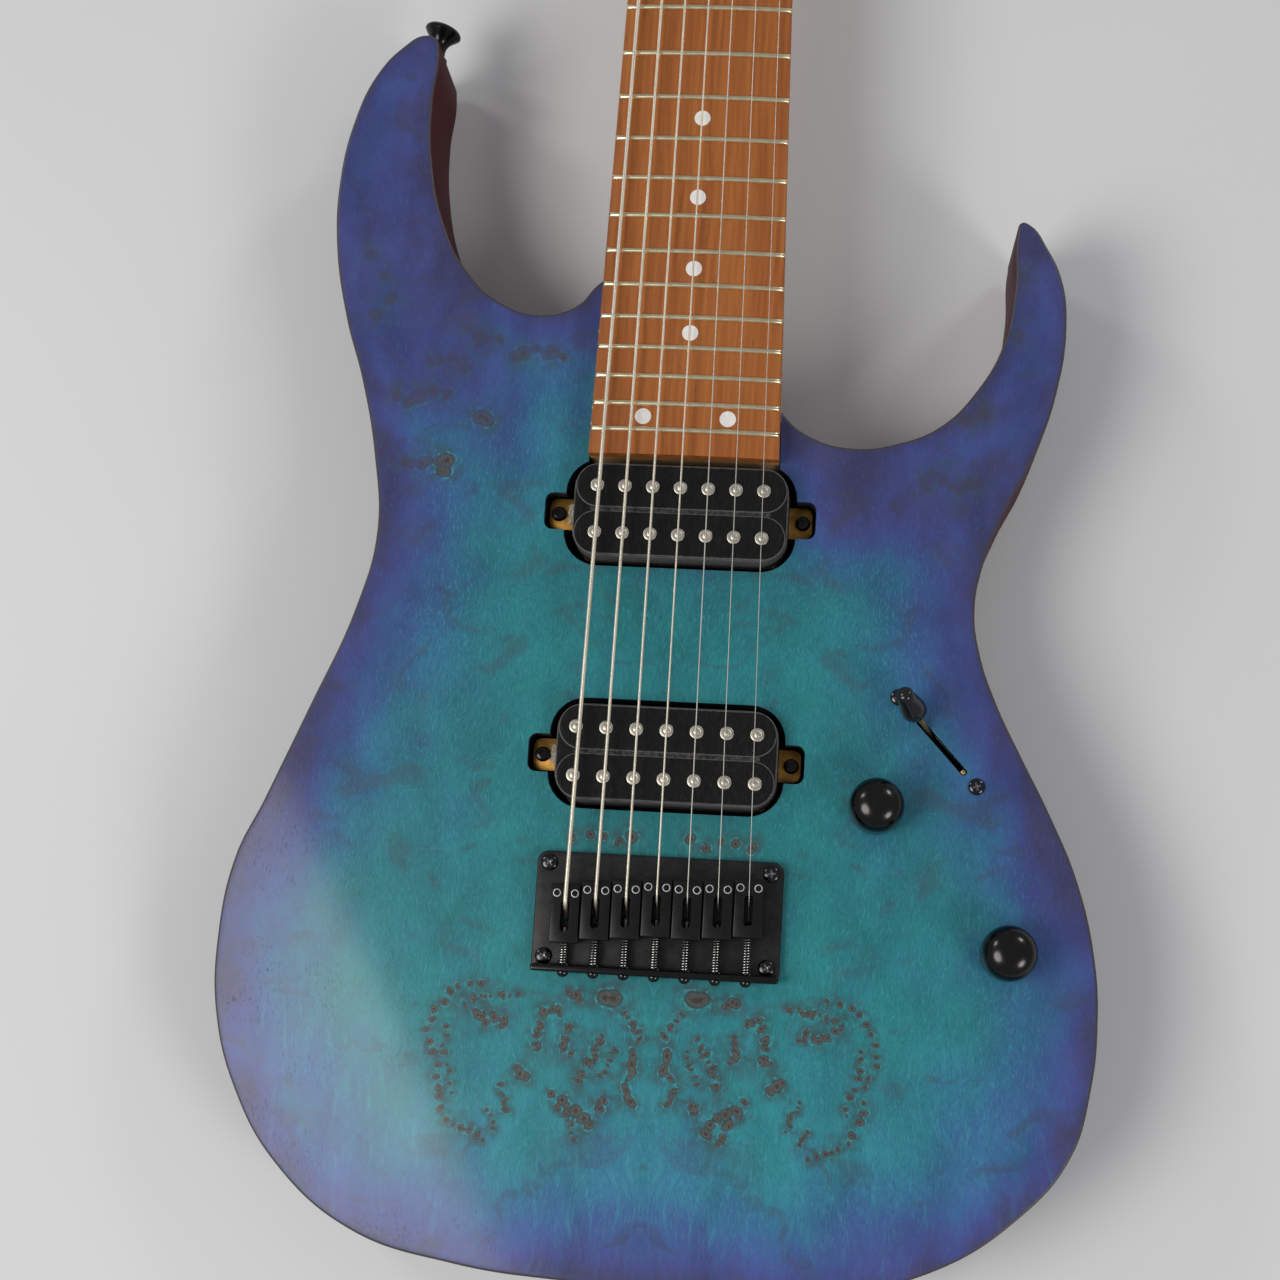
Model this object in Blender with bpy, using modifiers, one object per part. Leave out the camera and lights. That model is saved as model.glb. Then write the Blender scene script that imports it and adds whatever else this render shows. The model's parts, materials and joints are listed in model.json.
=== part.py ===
"""Seven-string solid-body electric guitar with a bolted neck.

It lies on its back.  +Z is the front, +Y runs from the bridge to the headstock, and +X is the
treble side.  The origin is on the centreline, at the scale line, on the back of the body.
Every length below is in millimetres; the helpers turn it into metres.
"""
import math

import bmesh
import bpy
from mathutils import Vector

MM = 0.001
GAP = 0.3

# Strings and scale
STRING_COUNT = 7
SCALE_LENGTH = 648.0
FRET_COUNT = 24
BRIDGE_PITCH = 10.5
NUT_PITCH = 6.9
STRING_DIAMETERS = (1.5, 1.2, 0.95, 0.7, 0.45, 0.35, 0.28)
BOARD_RADIUS = 400.0
NUT_STRING_Z = 54.6
SADDLE_STRING_Z = 56.4
STRING_HOLE_Y = -12.5

# Body
BODY_THICKNESS = 44.0
TOP_THICKNESS = 3.0
JOINT_LINE_Z = BODY_THICKNESS - TOP_THICKNESS
BODY_OUTLINE = (
    (28, 184), (35.5, 171), (45, 163.8), (60, 160.2), (76, 162.6), (91, 169.4), (104, 183.8), (112.6, 201),
    (116, 221), (116.4, 243), (117.6, 247.2), (120.6, 246.6), (127.4, 237.5), (132.7, 226), (134.8, 210),
    (132, 184), (124, 158), (114.5, 138), (107.9, 119.5), (105.4, 103), (107.8, 87), (114, 70), (123, 52),
    (133.5, 32), (143.6, 9), (150, -17), (151.5, -38), (149.8, -60), (143.4, -83.5), (126.4, -104.5),
    (98.2, -123.6), (62, -133.2), (20, -136.2), (-24, -134.6), (-64, -131.7), (-101.5, -123.2), (-130.5, -102.5),
    (-147, -78.5), (-156, -52), (-157.2, -25), (-152.6, 3), (-142.8, 24.2), (-129, 58), (-115.5, 94), (-110, 122), (-113.4, 152),
    (-120, 179), (-128, 203), (-134, 231), (-134.9, 256), (-131.5, 279), (-124.5, 298), (-115, 310),
    (-107.3, 314.8), (-102.8, 313.4), (-101.3, 308), (-102.3, 287), (-100.8, 265), (-94.5, 240.5), (-84, 221.5),
    (-70, 209.8), (-56, 206.3), (-43, 210), (-35, 219), (-22, 227), (2, 219), (18, 202),
)
ARM_LINE_POINT = (-92.0, -47.5)
ARM_LINE_ANGLE = math.radians(-60.3)
ARM_SLOPE = math.radians(11.0)
BELLY_CENTRE = (-132.0, 118.0)
BELLY_RADIUS = 85.0
BELLY_DEPTH = 17.0
EDGE_ROUND = 1.2

# Neck and fretboard
BOARD_END_Y = 152.9
BOARD_BOTTOM_Z = 46.5
BOARD_THICKNESS = 6.0
NUT_HALF_WIDTH = 24.0
LAST_FRET_HALF_WIDTH = 34.0
FRET_HEIGHT = 1.0
FRET_WIDTH = 2.2
NUT_LENGTH = 4.5
NUT_HEIGHT = 7.6
HEEL_DEPTH = 18.5
NECK_SECTIONS = (
    # distance along the neck, depth below the fretboard, squareness
    (153.2, 18.5, 12.0), (214.0, 18.5, 12.0), (232.0, 17.8, 6.0), (250.0, 16.2, 3.4), (275.0, 15.4, 2.5),
    (400.0, 14.8, 2.3), (540.0, 13.8, 2.3), (628.0, 13.2, 2.3), (642.0, 13.6, 3.2), (652.8, 14.2, 9.0),
)
ROD_RADIUS = 3.0
ROD_START_Y = 168.0
ROD_END_Y = 660.0
ROD_Z = 41.0

# Headstock, in its own tilted frame: u across, v towards the tip, w out of its face
HEAD_START_Y = SCALE_LENGTH + GAP + NUT_LENGTH
HEAD_TILT = math.radians(8.0)
HEAD_THICKNESS = 14.0
HEAD_OUTLINE = (
    (23.8, 0), (24.6, 14), (28.5, 34), (33, 70), (37, 120), (41, 170), (41.5, 192), (36, 204), (25, 208.5),
    (13, 205), (4, 192), (-8, 150), (-24, 92), (-37, 46), (-37, 34), (-30, 20), (-24.6, 9), (-23.8, 0),
)
HEAD_ROOT_SECTION = (674.0, 11.5, 9.0)
HEAD_ROOT_TOP_Z = 40.5
COVER_PLATE_OUTLINE = ((-11, 4), (11, 4), (12, 18), (7, 40), (0, 45), (-7, 40), (-12, 18))

# Tuning machines, from the first on the bass side
POST_RADIUS = 3.0
POST_HEIGHT = 21.0
POST_OFFSET = 3.6
FIRST_POST_V = 38.0
POST_STEP_V = 25.0
TUNER_ANGLE = math.atan2(NUT_PITCH, POST_STEP_V)
WORM_OFFSET = 7.2
WORM_W = -19.2
WORM_RADIUS = 1.8
WORM_TAIL = 4.5
WHEEL_RADIUS = 5.0
WHEEL_HALF = 2.2
WHEEL_ROOM = 0.6
HOUSING_LOW = (-7.5, -7.5)
HOUSING_HIGH = (11.0, 9.5)
HOUSING_TOP_W = -HEAD_THICKNESS - GAP
HOUSING_HEIGHT = 9.5
BUTTON_REACH = 20.0
COLLAR_RADIUS = 3.2
COLLAR_LENGTH = 4.0
WING_HALF_WIDTH = 8.0
WING_HALF_THICKNESS = 2.6
WING_START = 2.0
WING_END = 15.0

# Pickups: where the coils' middle and the ears' middle lie along the body, and the coils' width
PICKUPS = {
    "neck_pickup": {"y": 132.75, "ear_y": 132.75, "width": 76.6},
    "bridge_pickup": {"y": 45.4, "ear_y": 45.0, "width": 77.6},
}
ROUTE_SIZE = (83.2, 39.4)
ROUTE_CORNER = 12.5
EAR_SLOT_SIZE = (97.6, 13.6)
ROUTE_FLOOR_Z = 22.0
BOBBIN_DEPTH = 16.4
BOBBIN_SPACING = 17.6
BOBBIN_TOP_Z = 50.5
BASEPLATE_Z = 37.0
BASEPLATE_THICKNESS = 1.6
BASEPLATE_LENGTH = 35.0
EARS_SIZE = (95.0, 11.5)
EARS_X = -0.6

# Bridge
PLATE_WIDTH = 86.0
PLATE_FRONT_Y = 10.3
PLATE_REAR_Y = -31.4
PLATE_BOTTOM_Z = BODY_THICKNESS + GAP
PLATE_THICKNESS = 2.5
LIP_THICKNESS = 2.5
LIP_TOP_Z = 51.5
SADDLE_SCREW_Y = (-4.6, -3.1, -2.2, -1.0, -1.3, -0.5, 0.5)
SADDLE_WIDTH = 10.1
SADDLE_FRONT = 3.2
SADDLE_REAR = -17.0
SADDLE_BOTTOM_Z = 49.2
SLOT_FRONT = -2.4
SLOT_REAR = -13.2
SLOT_WIDTH = 3.0

# Controls
VOLUME_AT = (73.6, 31.0)
TONE_AT = (120.0, -16.7)
KNOB_RADIUS = 9.5
KNOB_TOP_Z = 64.0
KNOB_BOTTOM_Z = 47.4
SHAFT_RADIUS = 3.0
POT_HOLE_RADIUS = 4.6
SWITCH_AT = (94.0, 55.5)
SWITCH_ANGLE = math.atan2(-0.731, 0.682)
SWITCH_PIVOT_Z = 34.0
SWITCH_THROW = math.radians(35)
SWITCH_SLOT_LENGTH = 30.0
LEVER_THICKNESS = 1.2
LEVER_LENGTH = 19.1
CAVITY_OUTLINE = (
    (64, 80), (90, 83), (104, 66), (119, 38), (134, 6), (137, -22), (124, -38), (104, -34), (84, -12),
    (58, 14), (53, 42), (55, 66),
)
CAVITY_TOP_Z = 37.0
COVER_MARGIN = 7.0
COVER_THICKNESS = 2.4
POT_RADIUS = 11.5
POT_BOTTOM_Z = 26.0
POT_BUSHING_RADIUS = 4.2
POT_NUT_RADIUS = 6.5
POT_NUT_TOP_Z = 46.9

# Output jack, in the side of the body
BODY_MIDDLE_Z = 22.0
JACK_AT = (136.7, -93.2)
JACK_DIRECTION = math.atan2(-0.55, 0.835)
JACK_PLATE_HALF = (10.0, 15.0)
JACK_PLATE_BACK = -2.6
JACK_PLATE_FRONT = -0.8
JACK_BARREL_RADIUS = 8.5
JACK_BARREL_LENGTH = 34.0
JACK_BORE_RADIUS = 3.3
JACK_MOUTH_RADIUS = 4.6
JACK_MOUTH_DEPTH = 2.4

# Plates on the back
NECK_PLATE_SIZE = (48.0, 36.0)
NECK_PLATE_AT = (-3.0, 178.0)
NECK_PLATE_CORNER = 4.0
NECK_PLATE_THICKNESS = 2.3
FERRULE_STRIP_SIZE = (78.0, 9.0)
FERRULE_STRIP_THICKNESS = 4.0

# Strap buttons: where they sit, and the way that they point
STRAP_BUTTONS = {
    "strap_button_upper": (-107.8, 315.3, math.radians(74.0)),
    "strap_button_lower": (0.0, -136.3, math.radians(-90.0)),
}


def start_clean():
    """Empty the scene."""
    for found in list(bpy.context.scene.objects):
        bpy.data.objects.remove(found, do_unlink=True)


def new_collection(name):
    """Add a collection to the scene."""
    collection = bpy.data.collections.new(name)
    bpy.context.scene.collection.children.link(collection)
    return collection


start_clean()
PARTS = new_collection("electric_guitar")
CUTTERS = new_collection("cutters")


def material(name, colour, roughness, metallic=0.0):
    """Make a Principled material."""
    made = bpy.data.materials.new(name)
    made.use_nodes = True
    shader = made.node_tree.nodes["Principled BSDF"]
    shader.inputs["Base Color"].default_value = (*colour, 1.0)
    shader.inputs["Roughness"].default_value = roughness
    shader.inputs["Metallic"].default_value = metallic
    return made


BURL = material("burl_top", (0.05, 0.36, 0.42), 0.45)
BODY_WOOD = material("body_wood", (0.06, 0.02, 0.025), 0.5)
MAPLE = material("neck_wood", (0.62, 0.42, 0.22), 0.5)
BOARD_WOOD = material("fretboard_wood", (0.28, 0.1, 0.05), 0.55)
BLACK_METAL = material("black_hardware", (0.02, 0.02, 0.022), 0.25, 0.8)
BLACK_PLASTIC = material("black_plastic", (0.02, 0.02, 0.02), 0.45)
STEEL = material("string_steel", (0.7, 0.68, 0.65), 0.3, 1.0)
GOLD = material("gold_metal", (0.75, 0.5, 0.16), 0.35, 1.0)
POT_METAL = material("pot_metal", (0.55, 0.55, 0.56), 0.35, 1.0)


def half_width(y):
    """Half the fretboard's width at a distance from the scale line."""
    last_fret = SCALE_LENGTH * (1 - 2 ** (-FRET_COUNT / 12))
    along = (SCALE_LENGTH - y) / last_fret
    return NUT_HALF_WIDTH + (LAST_FRET_HALF_WIDTH - NUT_HALF_WIDTH) * along


def crown_drop(x):
    """How far the radiused fretboard falls at a distance from the centreline."""
    return BOARD_RADIUS - math.sqrt(BOARD_RADIUS ** 2 - x ** 2)


def string_place(index):
    """How many string spacings a string lies from the centreline; the first is on the bass side."""
    return index - (STRING_COUNT - 1) / 2


def finish(made, look=None, cutter=False):
    """Put an object in its collection, with its material."""
    for collection in list(made.users_collection):
        collection.objects.unlink(made)
    (CUTTERS if cutter else PARTS).objects.link(made)
    if cutter:
        made.hide_render = True
        made.display_type = "WIRE"
    if look:
        made.data.materials.clear()
        made.data.materials.append(look)
    return made


def place(made, location=(0, 0, 0), rotation=(0, 0, 0), parent=None):
    """Set an object's place, in millimetres and radians, in its parent's frame."""
    made.parent = parent
    made.location = Vector(location) * MM
    made.rotation_euler = rotation
    return made


def from_bmesh(name, shape):
    """Turn a bmesh into an object."""
    mesh = bpy.data.meshes.new(name)
    shape.to_mesh(mesh)
    shape.free()
    made = bpy.data.objects.new(name, mesh)
    bpy.context.scene.collection.objects.link(made)
    return made


def box(name, low, high):
    """A box between two corners; its origin is the frame's origin."""
    shape = bmesh.new()
    bmesh.ops.create_cube(shape, size=1.0)
    size = (Vector(high) - Vector(low)) * MM
    middle = (Vector(high) + Vector(low)) / 2 * MM
    bmesh.ops.scale(shape, vec=size, verts=shape.verts)
    bmesh.ops.translate(shape, vec=middle, verts=shape.verts)
    return from_bmesh(name, shape)


def cylinder(name, radius, bottom, top, sides=24):
    """An upright cylinder on the object's own Z axis."""
    shape = bmesh.new()
    bmesh.ops.create_cone(
        shape, cap_ends=True, segments=sides, radius1=radius * MM, radius2=radius * MM, depth=(top - bottom) * MM
    )
    bmesh.ops.translate(shape, vec=(0, 0, (top + bottom) / 2 * MM), verts=shape.verts)
    made = from_bmesh(name, shape)
    round_shading(made)
    return made


def round_shading(made, angle=math.radians(35)):
    """Shade a round piece smooth, with its edges sharp."""
    made.data.shade_smooth()
    made.data.set_sharp_from_angle(angle=angle)


def curve_to_mesh(guide, merge):
    """Replace a curve object by a closed mesh object."""
    bpy.context.view_layer.update()
    graph = bpy.context.evaluated_depsgraph_get()
    mesh = bpy.data.meshes.new_from_object(guide.evaluated_get(graph))
    shape = bmesh.new()
    shape.from_mesh(mesh)
    bmesh.ops.remove_doubles(shape, verts=shape.verts, dist=merge)
    shape.to_mesh(mesh)
    shape.free()
    made = bpy.data.objects.new(guide.name, mesh)
    made.matrix_world = guide.matrix_world
    name = guide.name
    bpy.context.scene.collection.objects.link(made)
    bpy.data.objects.remove(guide, do_unlink=True)
    made.name = name
    return made


def slab(name, points, bottom, top, smooth=False, corners=()):
    """A flat outline between two heights: straight between its points, or smooth except at its corners."""
    curve = bpy.data.curves.new(name, "CURVE")
    curve.dimensions = "2D"
    curve.fill_mode = "BOTH"
    curve.extrude = (top - bottom) / 2 * MM
    curve.resolution_u = 4
    if smooth:
        spline = curve.splines.new("BEZIER")
        spline.bezier_points.add(len(points) - 1)
        for knot, (x, y) in zip(spline.bezier_points, points):
            knot.co = (x * MM, y * MM, 0)
            kind = "VECTOR" if (x, y) in corners else "AUTO"
            knot.handle_left_type = kind
            knot.handle_right_type = kind
    else:
        spline = curve.splines.new("POLY")
        spline.points.add(len(points) - 1)
        for knot, (x, y) in zip(spline.points, points):
            knot.co = (x * MM, y * MM, 0, 1)
    spline.use_cyclic_u = True
    guide = bpy.data.objects.new(name, curve)
    bpy.context.scene.collection.objects.link(guide)
    guide.location.z = (top + bottom) / 2 * MM
    return curve_to_mesh(guide, 0.00001)


def rounded_rectangle(width, height, radius, middle=(0, 0), steps=5):
    """The points of a rectangle with round corners."""
    points = []
    for turn in range(4):
        angle = math.pi / 2 * turn
        side_x = 1 if turn in (0, 3) else -1
        side_y = 1 if turn in (0, 1) else -1
        x = middle[0] + side_x * (width / 2 - radius)
        y = middle[1] + side_y * (height / 2 - radius)
        for step in range(steps + 1):
            around = angle + math.pi / 2 * step / steps
            points.append((x + radius * math.cos(around), y + radius * math.sin(around)))
    return points


def turned(name, profile, steps=16):
    """A turned piece: (radius, height) pairs from the top of the axis to its bottom."""
    mesh = bpy.data.meshes.new(name)
    vertices = [(radius * MM, 0, height * MM) for radius, height in profile]
    edges = [(number, number + 1) for number in range(len(vertices) - 1)]
    mesh.from_pydata(vertices, edges, [])
    made = bpy.data.objects.new(name, mesh)
    bpy.context.scene.collection.objects.link(made)
    screw = made.modifiers.new("turn", "SCREW")
    screw.steps = steps
    screw.render_steps = steps
    screw.use_merge_vertices = True
    screw.merge_threshold = 0.00001
    screw.use_smooth_shade = False
    return made


def tube(name, points, radius):
    """A round wire through points."""
    curve = bpy.data.curves.new(name, "CURVE")
    curve.dimensions = "3D"
    curve.bevel_depth = radius * MM
    curve.bevel_resolution = 2
    curve.use_fill_caps = True
    spline = curve.splines.new("POLY")
    spline.points.add(len(points) - 1)
    for knot, point in zip(spline.points, points):
        knot.co = (*(Vector(point) * MM), 1)
    guide = bpy.data.objects.new(name, curve)
    bpy.context.scene.collection.objects.link(guide)
    return curve_to_mesh(guide, 0.000001)


def loft(name, sections):
    """A closed skin over sections that have the same number of points."""
    shape = bmesh.new()
    rings = [[shape.verts.new(Vector(point) * MM) for point in section] for section in sections]
    for ring, following in zip(rings, rings[1:]):
        for number in range(len(ring)):
            beside = (number + 1) % len(ring)
            shape.faces.new((ring[number], ring[beside], following[beside], following[number]))
    shape.faces.new(rings[0])
    shape.faces.new(rings[-1])
    bmesh.ops.recalc_face_normals(shape, faces=shape.faces)
    return from_bmesh(name, shape)


def cut(target, cutter):
    """Take a cutter's shape out of an object."""
    finish(cutter, cutter=True)
    step = target.modifiers.new("cut_" + cutter.name, "BOOLEAN")
    step.operation = "DIFFERENCE"
    step.object = cutter


def join(target, other):
    """Make another shape one solid with an object."""
    finish(other, cutter=True)
    step = target.modifiers.new("join_" + other.name, "BOOLEAN")
    step.operation = "UNION"
    step.object = other


def round_edges(made, width, segments=2, angle=math.radians(40)):
    """Round an object's sharp edges."""
    step = made.modifiers.new("round", "BEVEL")
    step.width = width * MM
    step.segments = segments
    step.limit_method = "ANGLE"
    step.angle_limit = angle


def arm_wedge(name, lowered):
    """A block over the sloping arm rest, its underside lowered by a distance."""
    reach = 260
    made = box(name, (-reach, 0, 0), (reach, reach, 120))
    x, y = ARM_LINE_POINT
    place(made, (x, y, BODY_THICKNESS - lowered), (-ARM_SLOPE, 0, ARM_LINE_ANGLE + math.pi))
    return made


def belly_scoop():
    """A ball that hollows the back where the player's ribs rest."""
    radius = (BELLY_RADIUS ** 2 + BELLY_DEPTH ** 2) / (2 * BELLY_DEPTH)
    shape = bmesh.new()
    bmesh.ops.create_uvsphere(shape, u_segments=48, v_segments=30, radius=radius * MM)
    made = from_bmesh("belly_scoop", shape)
    return place(made, (*BELLY_CENTRE, BELLY_DEPTH - radius), (math.radians(90), 0, 0))


def neck_pocket(name):
    """The pocket that the neck's heel drops into."""
    start = BOARD_END_Y - 4
    end = 245
    points = [
        (-half_width(start) - GAP, start), (half_width(start) + GAP, start),
        (half_width(end) + GAP, end), (-half_width(end) - GAP, end),
    ]
    return slab(name, points, BOARD_BOTTOM_Z - HEEL_DEPTH - GAP, 60)


def pickup_routes(prefix):
    """The pockets under the pickups: a round-ended well and a narrow slot for the ears."""
    routes = []
    for pickup, at in PICKUPS.items():
        well = rounded_rectangle(*ROUTE_SIZE, ROUTE_CORNER, (-0.4, at["y"] + 0.2))
        slot = rounded_rectangle(*EAR_SLOT_SIZE, 3.0, (EARS_X, at["ear_y"]), steps=3)
        routes.append(slab(prefix + pickup + "_well", well, ROUTE_FLOOR_Z, 60))
        routes.append(slab(prefix + pickup + "_ear_slot", slot, ROUTE_FLOOR_Z, 60))
    return routes


def string_holes(prefix):
    """The holes that the strings come up through."""
    holes = []
    for index in range(STRING_COUNT):
        hole = cylinder(f"{prefix}string_hole_{index + 1}", 1.8, -5, 70, sides=10)
        holes.append(place(hole, (string_place(index) * BRIDGE_PITCH, STRING_HOLE_Y, 0)))
    return holes


def control_holes(prefix, slot_width):
    """The holes of the two pots and the slot of the switch."""
    holes = []
    for number, spot in enumerate((VOLUME_AT, TONE_AT)):
        hole = cylinder(f"{prefix}pot_hole_{number + 1}", POT_HOLE_RADIUS, CAVITY_TOP_Z - 2, 60)
        holes.append(place(hole, (*spot, 0)))
    outline = rounded_rectangle(SWITCH_SLOT_LENGTH, slot_width, slot_width / 2 - 0.01, steps=3)
    slot = slab(prefix + "switch_slot", outline, 0, 60)
    holes.append(place(slot, (*SWITCH_AT, CAVITY_TOP_Z + 20), (0, 0, SWITCH_ANGLE)))
    return holes


def outset(points, distance):
    """Points moved outwards from the middle of a convex outline that runs clockwise."""
    moved = []
    count = len(points)
    for number, point in enumerate(points):
        before = Vector(points[number - 1])
        after = Vector(points[(number + 1) % count])
        along = (after - before).normalized()
        moved.append((point[0] - along.y * distance, point[1] + along.x * distance))
    return moved


def make_top():
    """The figured wooden top, which bends down over the arm rest."""
    top = finish(slab("burl_top", BODY_OUTLINE, BODY_MIDDLE_Z, BODY_THICKNESS, smooth=True), BURL)
    cut(top, arm_wedge("arm_wedge_top", 0))
    core_space = box("core_space", (-300, -300, -50), (300, 400, JOINT_LINE_Z + GAP / 2))
    finish(core_space, cutter=True)
    cut(core_space, arm_wedge("arm_wedge_core_space", TOP_THICKNESS - GAP / 2))
    cut(top, core_space)
    cut(top, neck_pocket("top_neck_pocket"))
    for cutter in pickup_routes("top_") + string_holes("top_") + control_holes("top_", 2.4):
        cut(top, cutter)
    return top


def make_core():
    """The body's wooden core, with everything that is routed and drilled in it."""
    core = finish(slab("body_core", BODY_OUTLINE, 0, 60, smooth=True), BODY_WOOD)
    round_edges(core, EDGE_ROUND)
    cut(core, box("above_core", (-300, -300, JOINT_LINE_Z - GAP / 2), (300, 400, 90)))
    cut(core, arm_wedge("arm_wedge_core", TOP_THICKNESS + GAP / 2))
    cut(core, belly_scoop())
    cut(core, neck_pocket("core_neck_pocket"))
    for cutter in pickup_routes("core_") + string_holes("core_") + control_holes("core_", 7.0):
        cut(core, cutter)
    cut(core, slab("control_cavity", CAVITY_OUTLINE, COVER_THICKNESS - 1, CAVITY_TOP_Z, smooth=True))
    recess = outset(CAVITY_OUTLINE, COVER_MARGIN)
    cut(core, slab("cover_recess", recess, -5, COVER_THICKNESS + GAP, smooth=True))
    bore = cylinder("jack_bore", JACK_BARREL_RADIUS + 2, -JACK_BARREL_LENGTH - 8, 30)
    cut(core, place(bore, *jack_place()))
    wide, tall = JACK_PLATE_HALF
    low = (-wide - GAP, -tall - GAP, JACK_PLATE_BACK - 0.4)
    cut(core, place(box("jack_flat", low, (wide + GAP, tall + GAP, 20)), *jack_place()))
    cut(core, slab("ferrule_recess", ferrule_outline(GAP), -5, FERRULE_STRIP_THICKNESS + GAP))
    cut(core, slab("neck_plate_recess", neck_plate_outline(GAP), -5, NECK_PLATE_THICKNESS + GAP))
    return core


def ferrule_outline(margin):
    """The outline of the strip that the strings pass through, with a margin round it."""
    width, height = FERRULE_STRIP_SIZE
    corner = height / 2 - GAP + margin
    return rounded_rectangle(width + 2 * margin, height + 2 * margin, corner, (0, STRING_HOLE_Y))


def neck_plate_outline(margin):
    """The outline of the plate over the neck's screws, with a margin round it."""
    width, height = NECK_PLATE_SIZE
    corner = NECK_PLATE_CORNER - GAP + margin
    return rounded_rectangle(width + 2 * margin, height + 2 * margin, corner, NECK_PLATE_AT)


def jack_place():
    """The place and rotation that turn an upright piece to point out of the jack's side."""
    return (*JACK_AT, BODY_MIDDLE_Z), (0, math.pi / 2, JACK_DIRECTION)


def make_back_plates():
    """The pieces let flush into the back."""
    outline = outset(CAVITY_OUTLINE, COVER_MARGIN - GAP)
    finish(slab("control_cover", outline, 0, COVER_THICKNESS, smooth=True), BLACK_PLASTIC)
    strip = slab("string_ferrule_strip", ferrule_outline(0), 0, FERRULE_STRIP_THICKNESS)
    finish(strip, BLACK_METAL)
    for hole in string_holes("ferrule_"):
        cut(strip, hole)
    finish(slab("neck_plate", neck_plate_outline(0), 0, NECK_PLATE_THICKNESS), BLACK_METAL)


def neck_section(y, depth, squareness, top=BOARD_BOTTOM_Z):
    """A cross-section of the neck: flat on top, round below."""
    wide = half_width(y)
    points = []
    count = 16
    for step in range(count + 1):
        around = math.pi * step / count
        x = -wide * math.copysign(abs(math.cos(around)) ** (2 / squareness), math.cos(around))
        z = top - depth * math.sin(around) ** (2 / squareness)
        points.append((x, y, z))
    return points


def make_headstock_frame():
    """The tilted frame that the headstock and its tuners share."""
    frame = bpy.data.objects.new("headstock_frame", None)
    PARTS.objects.link(frame)
    place(frame, (0, HEAD_START_Y, BOARD_BOTTOM_Z), (-HEAD_TILT, 0, 0))
    bpy.context.view_layer.update()
    return frame


def post_spot(index):
    """Where a tuner's post stands on the headstock."""
    return string_place(index) * NUT_PITCH - POST_OFFSET, FIRST_POST_V + POST_STEP_V * index


def make_neck(head_frame):
    """The neck and headstock, one piece of wood."""
    sections = [neck_section(*section) for section in NECK_SECTIONS]
    sections.append(neck_section(*HEAD_ROOT_SECTION, top=HEAD_ROOT_TOP_Z))
    neck = finish(loft("neck", sections), MAPLE)
    corners = (HEAD_OUTLINE[0], HEAD_OUTLINE[-1])
    head = slab("headstock_blank", HEAD_OUTLINE, -HEAD_THICKNESS, 0, smooth=True, corners=corners)
    place(head, (0, 0, -HEAD_THICKNESS / 2), (0, 0, 0), head_frame)
    join(neck, head)
    for index in range(STRING_COUNT):
        hole = cylinder(f"post_hole_{index + 1}", POST_RADIUS + 1.5, -20, 5, sides=16)
        cut(neck, place(hole, (*post_spot(index), 0), parent=head_frame))
    low = (-ROD_RADIUS - GAP, ROD_START_Y - 3, ROD_Z - ROD_RADIUS - GAP)
    high = (ROD_RADIUS + GAP, ROD_END_Y + 6, 60)
    cut(neck, box("rod_channel", low, high))
    return neck


def fret_distance(number):
    """How far a fret lies from the nut."""
    return SCALE_LENGTH * (1 - 2 ** (-number / 12))


def board_section(y, extra):
    """A cross-section of the fretboard, with its radiused top."""
    wide = half_width(y)
    low = BOARD_BOTTOM_Z + GAP
    high = BOARD_BOTTOM_Z + BOARD_THICKNESS
    points = [(wide, y, low), (-wide, y, low)]
    steps = 6
    for step in range(steps + 1):
        x = -wide + 2 * wide * step / steps
        points.append((x, y, high - crown_drop(x) + extra))
    return points


def make_fretboard():
    """The fretboard with its frets, drawn as one board with a ridge at each fret."""
    sections = [board_section(SCALE_LENGTH - GAP, 0)]
    slope = 0.35
    for number in range(1, FRET_COUNT + 1):
        y = SCALE_LENGTH - fret_distance(number)
        sections.append(board_section(y + FRET_WIDTH / 2, 0))
        sections.append(board_section(y + FRET_WIDTH / 2 - slope, FRET_HEIGHT))
        sections.append(board_section(y - FRET_WIDTH / 2 + slope, FRET_HEIGHT))
        sections.append(board_section(y - FRET_WIDTH / 2, 0))
    sections.append(board_section(BOARD_END_Y, 0))
    return finish(loft("fretboard", sections), BOARD_WOOD)


def make_nut():
    """The nut, with a slot for each string."""
    low = (-NUT_HALF_WIDTH, SCALE_LENGTH, BOARD_BOTTOM_Z + GAP)
    high = (NUT_HALF_WIDTH, SCALE_LENGTH + NUT_LENGTH, BOARD_BOTTOM_Z + GAP + NUT_HEIGHT)
    nut = finish(box("nut", low, high), BLACK_PLASTIC)
    for index in range(STRING_COUNT):
        x = string_place(index) * NUT_PITCH
        wide = STRING_DIAMETERS[index] / 2 + GAP
        floor = NUT_STRING_Z - crown_drop(x) - wide
        low = (x - wide, SCALE_LENGTH - 2, floor)
        high = (x + wide, SCALE_LENGTH + NUT_LENGTH + 2, 62)
        cut(nut, box(f"nut_slot_{index + 1}", low, high))


def make_truss_rod(head_frame):
    """The rod inside the neck, and the cover over its adjusting end."""
    rod = finish(cylinder("truss_rod", ROD_RADIUS, ROD_START_Y, ROD_END_Y, sides=12), STEEL)
    place(rod, (0, 0, ROD_Z), (-math.pi / 2, 0, 0))
    cover = finish(slab("truss_rod_cover", COVER_PLATE_OUTLINE, 0, 2, smooth=True), BLACK_PLASTIC)
    place(cover, (0, 0, GAP + 1), (0, 0, 0), head_frame)


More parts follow.
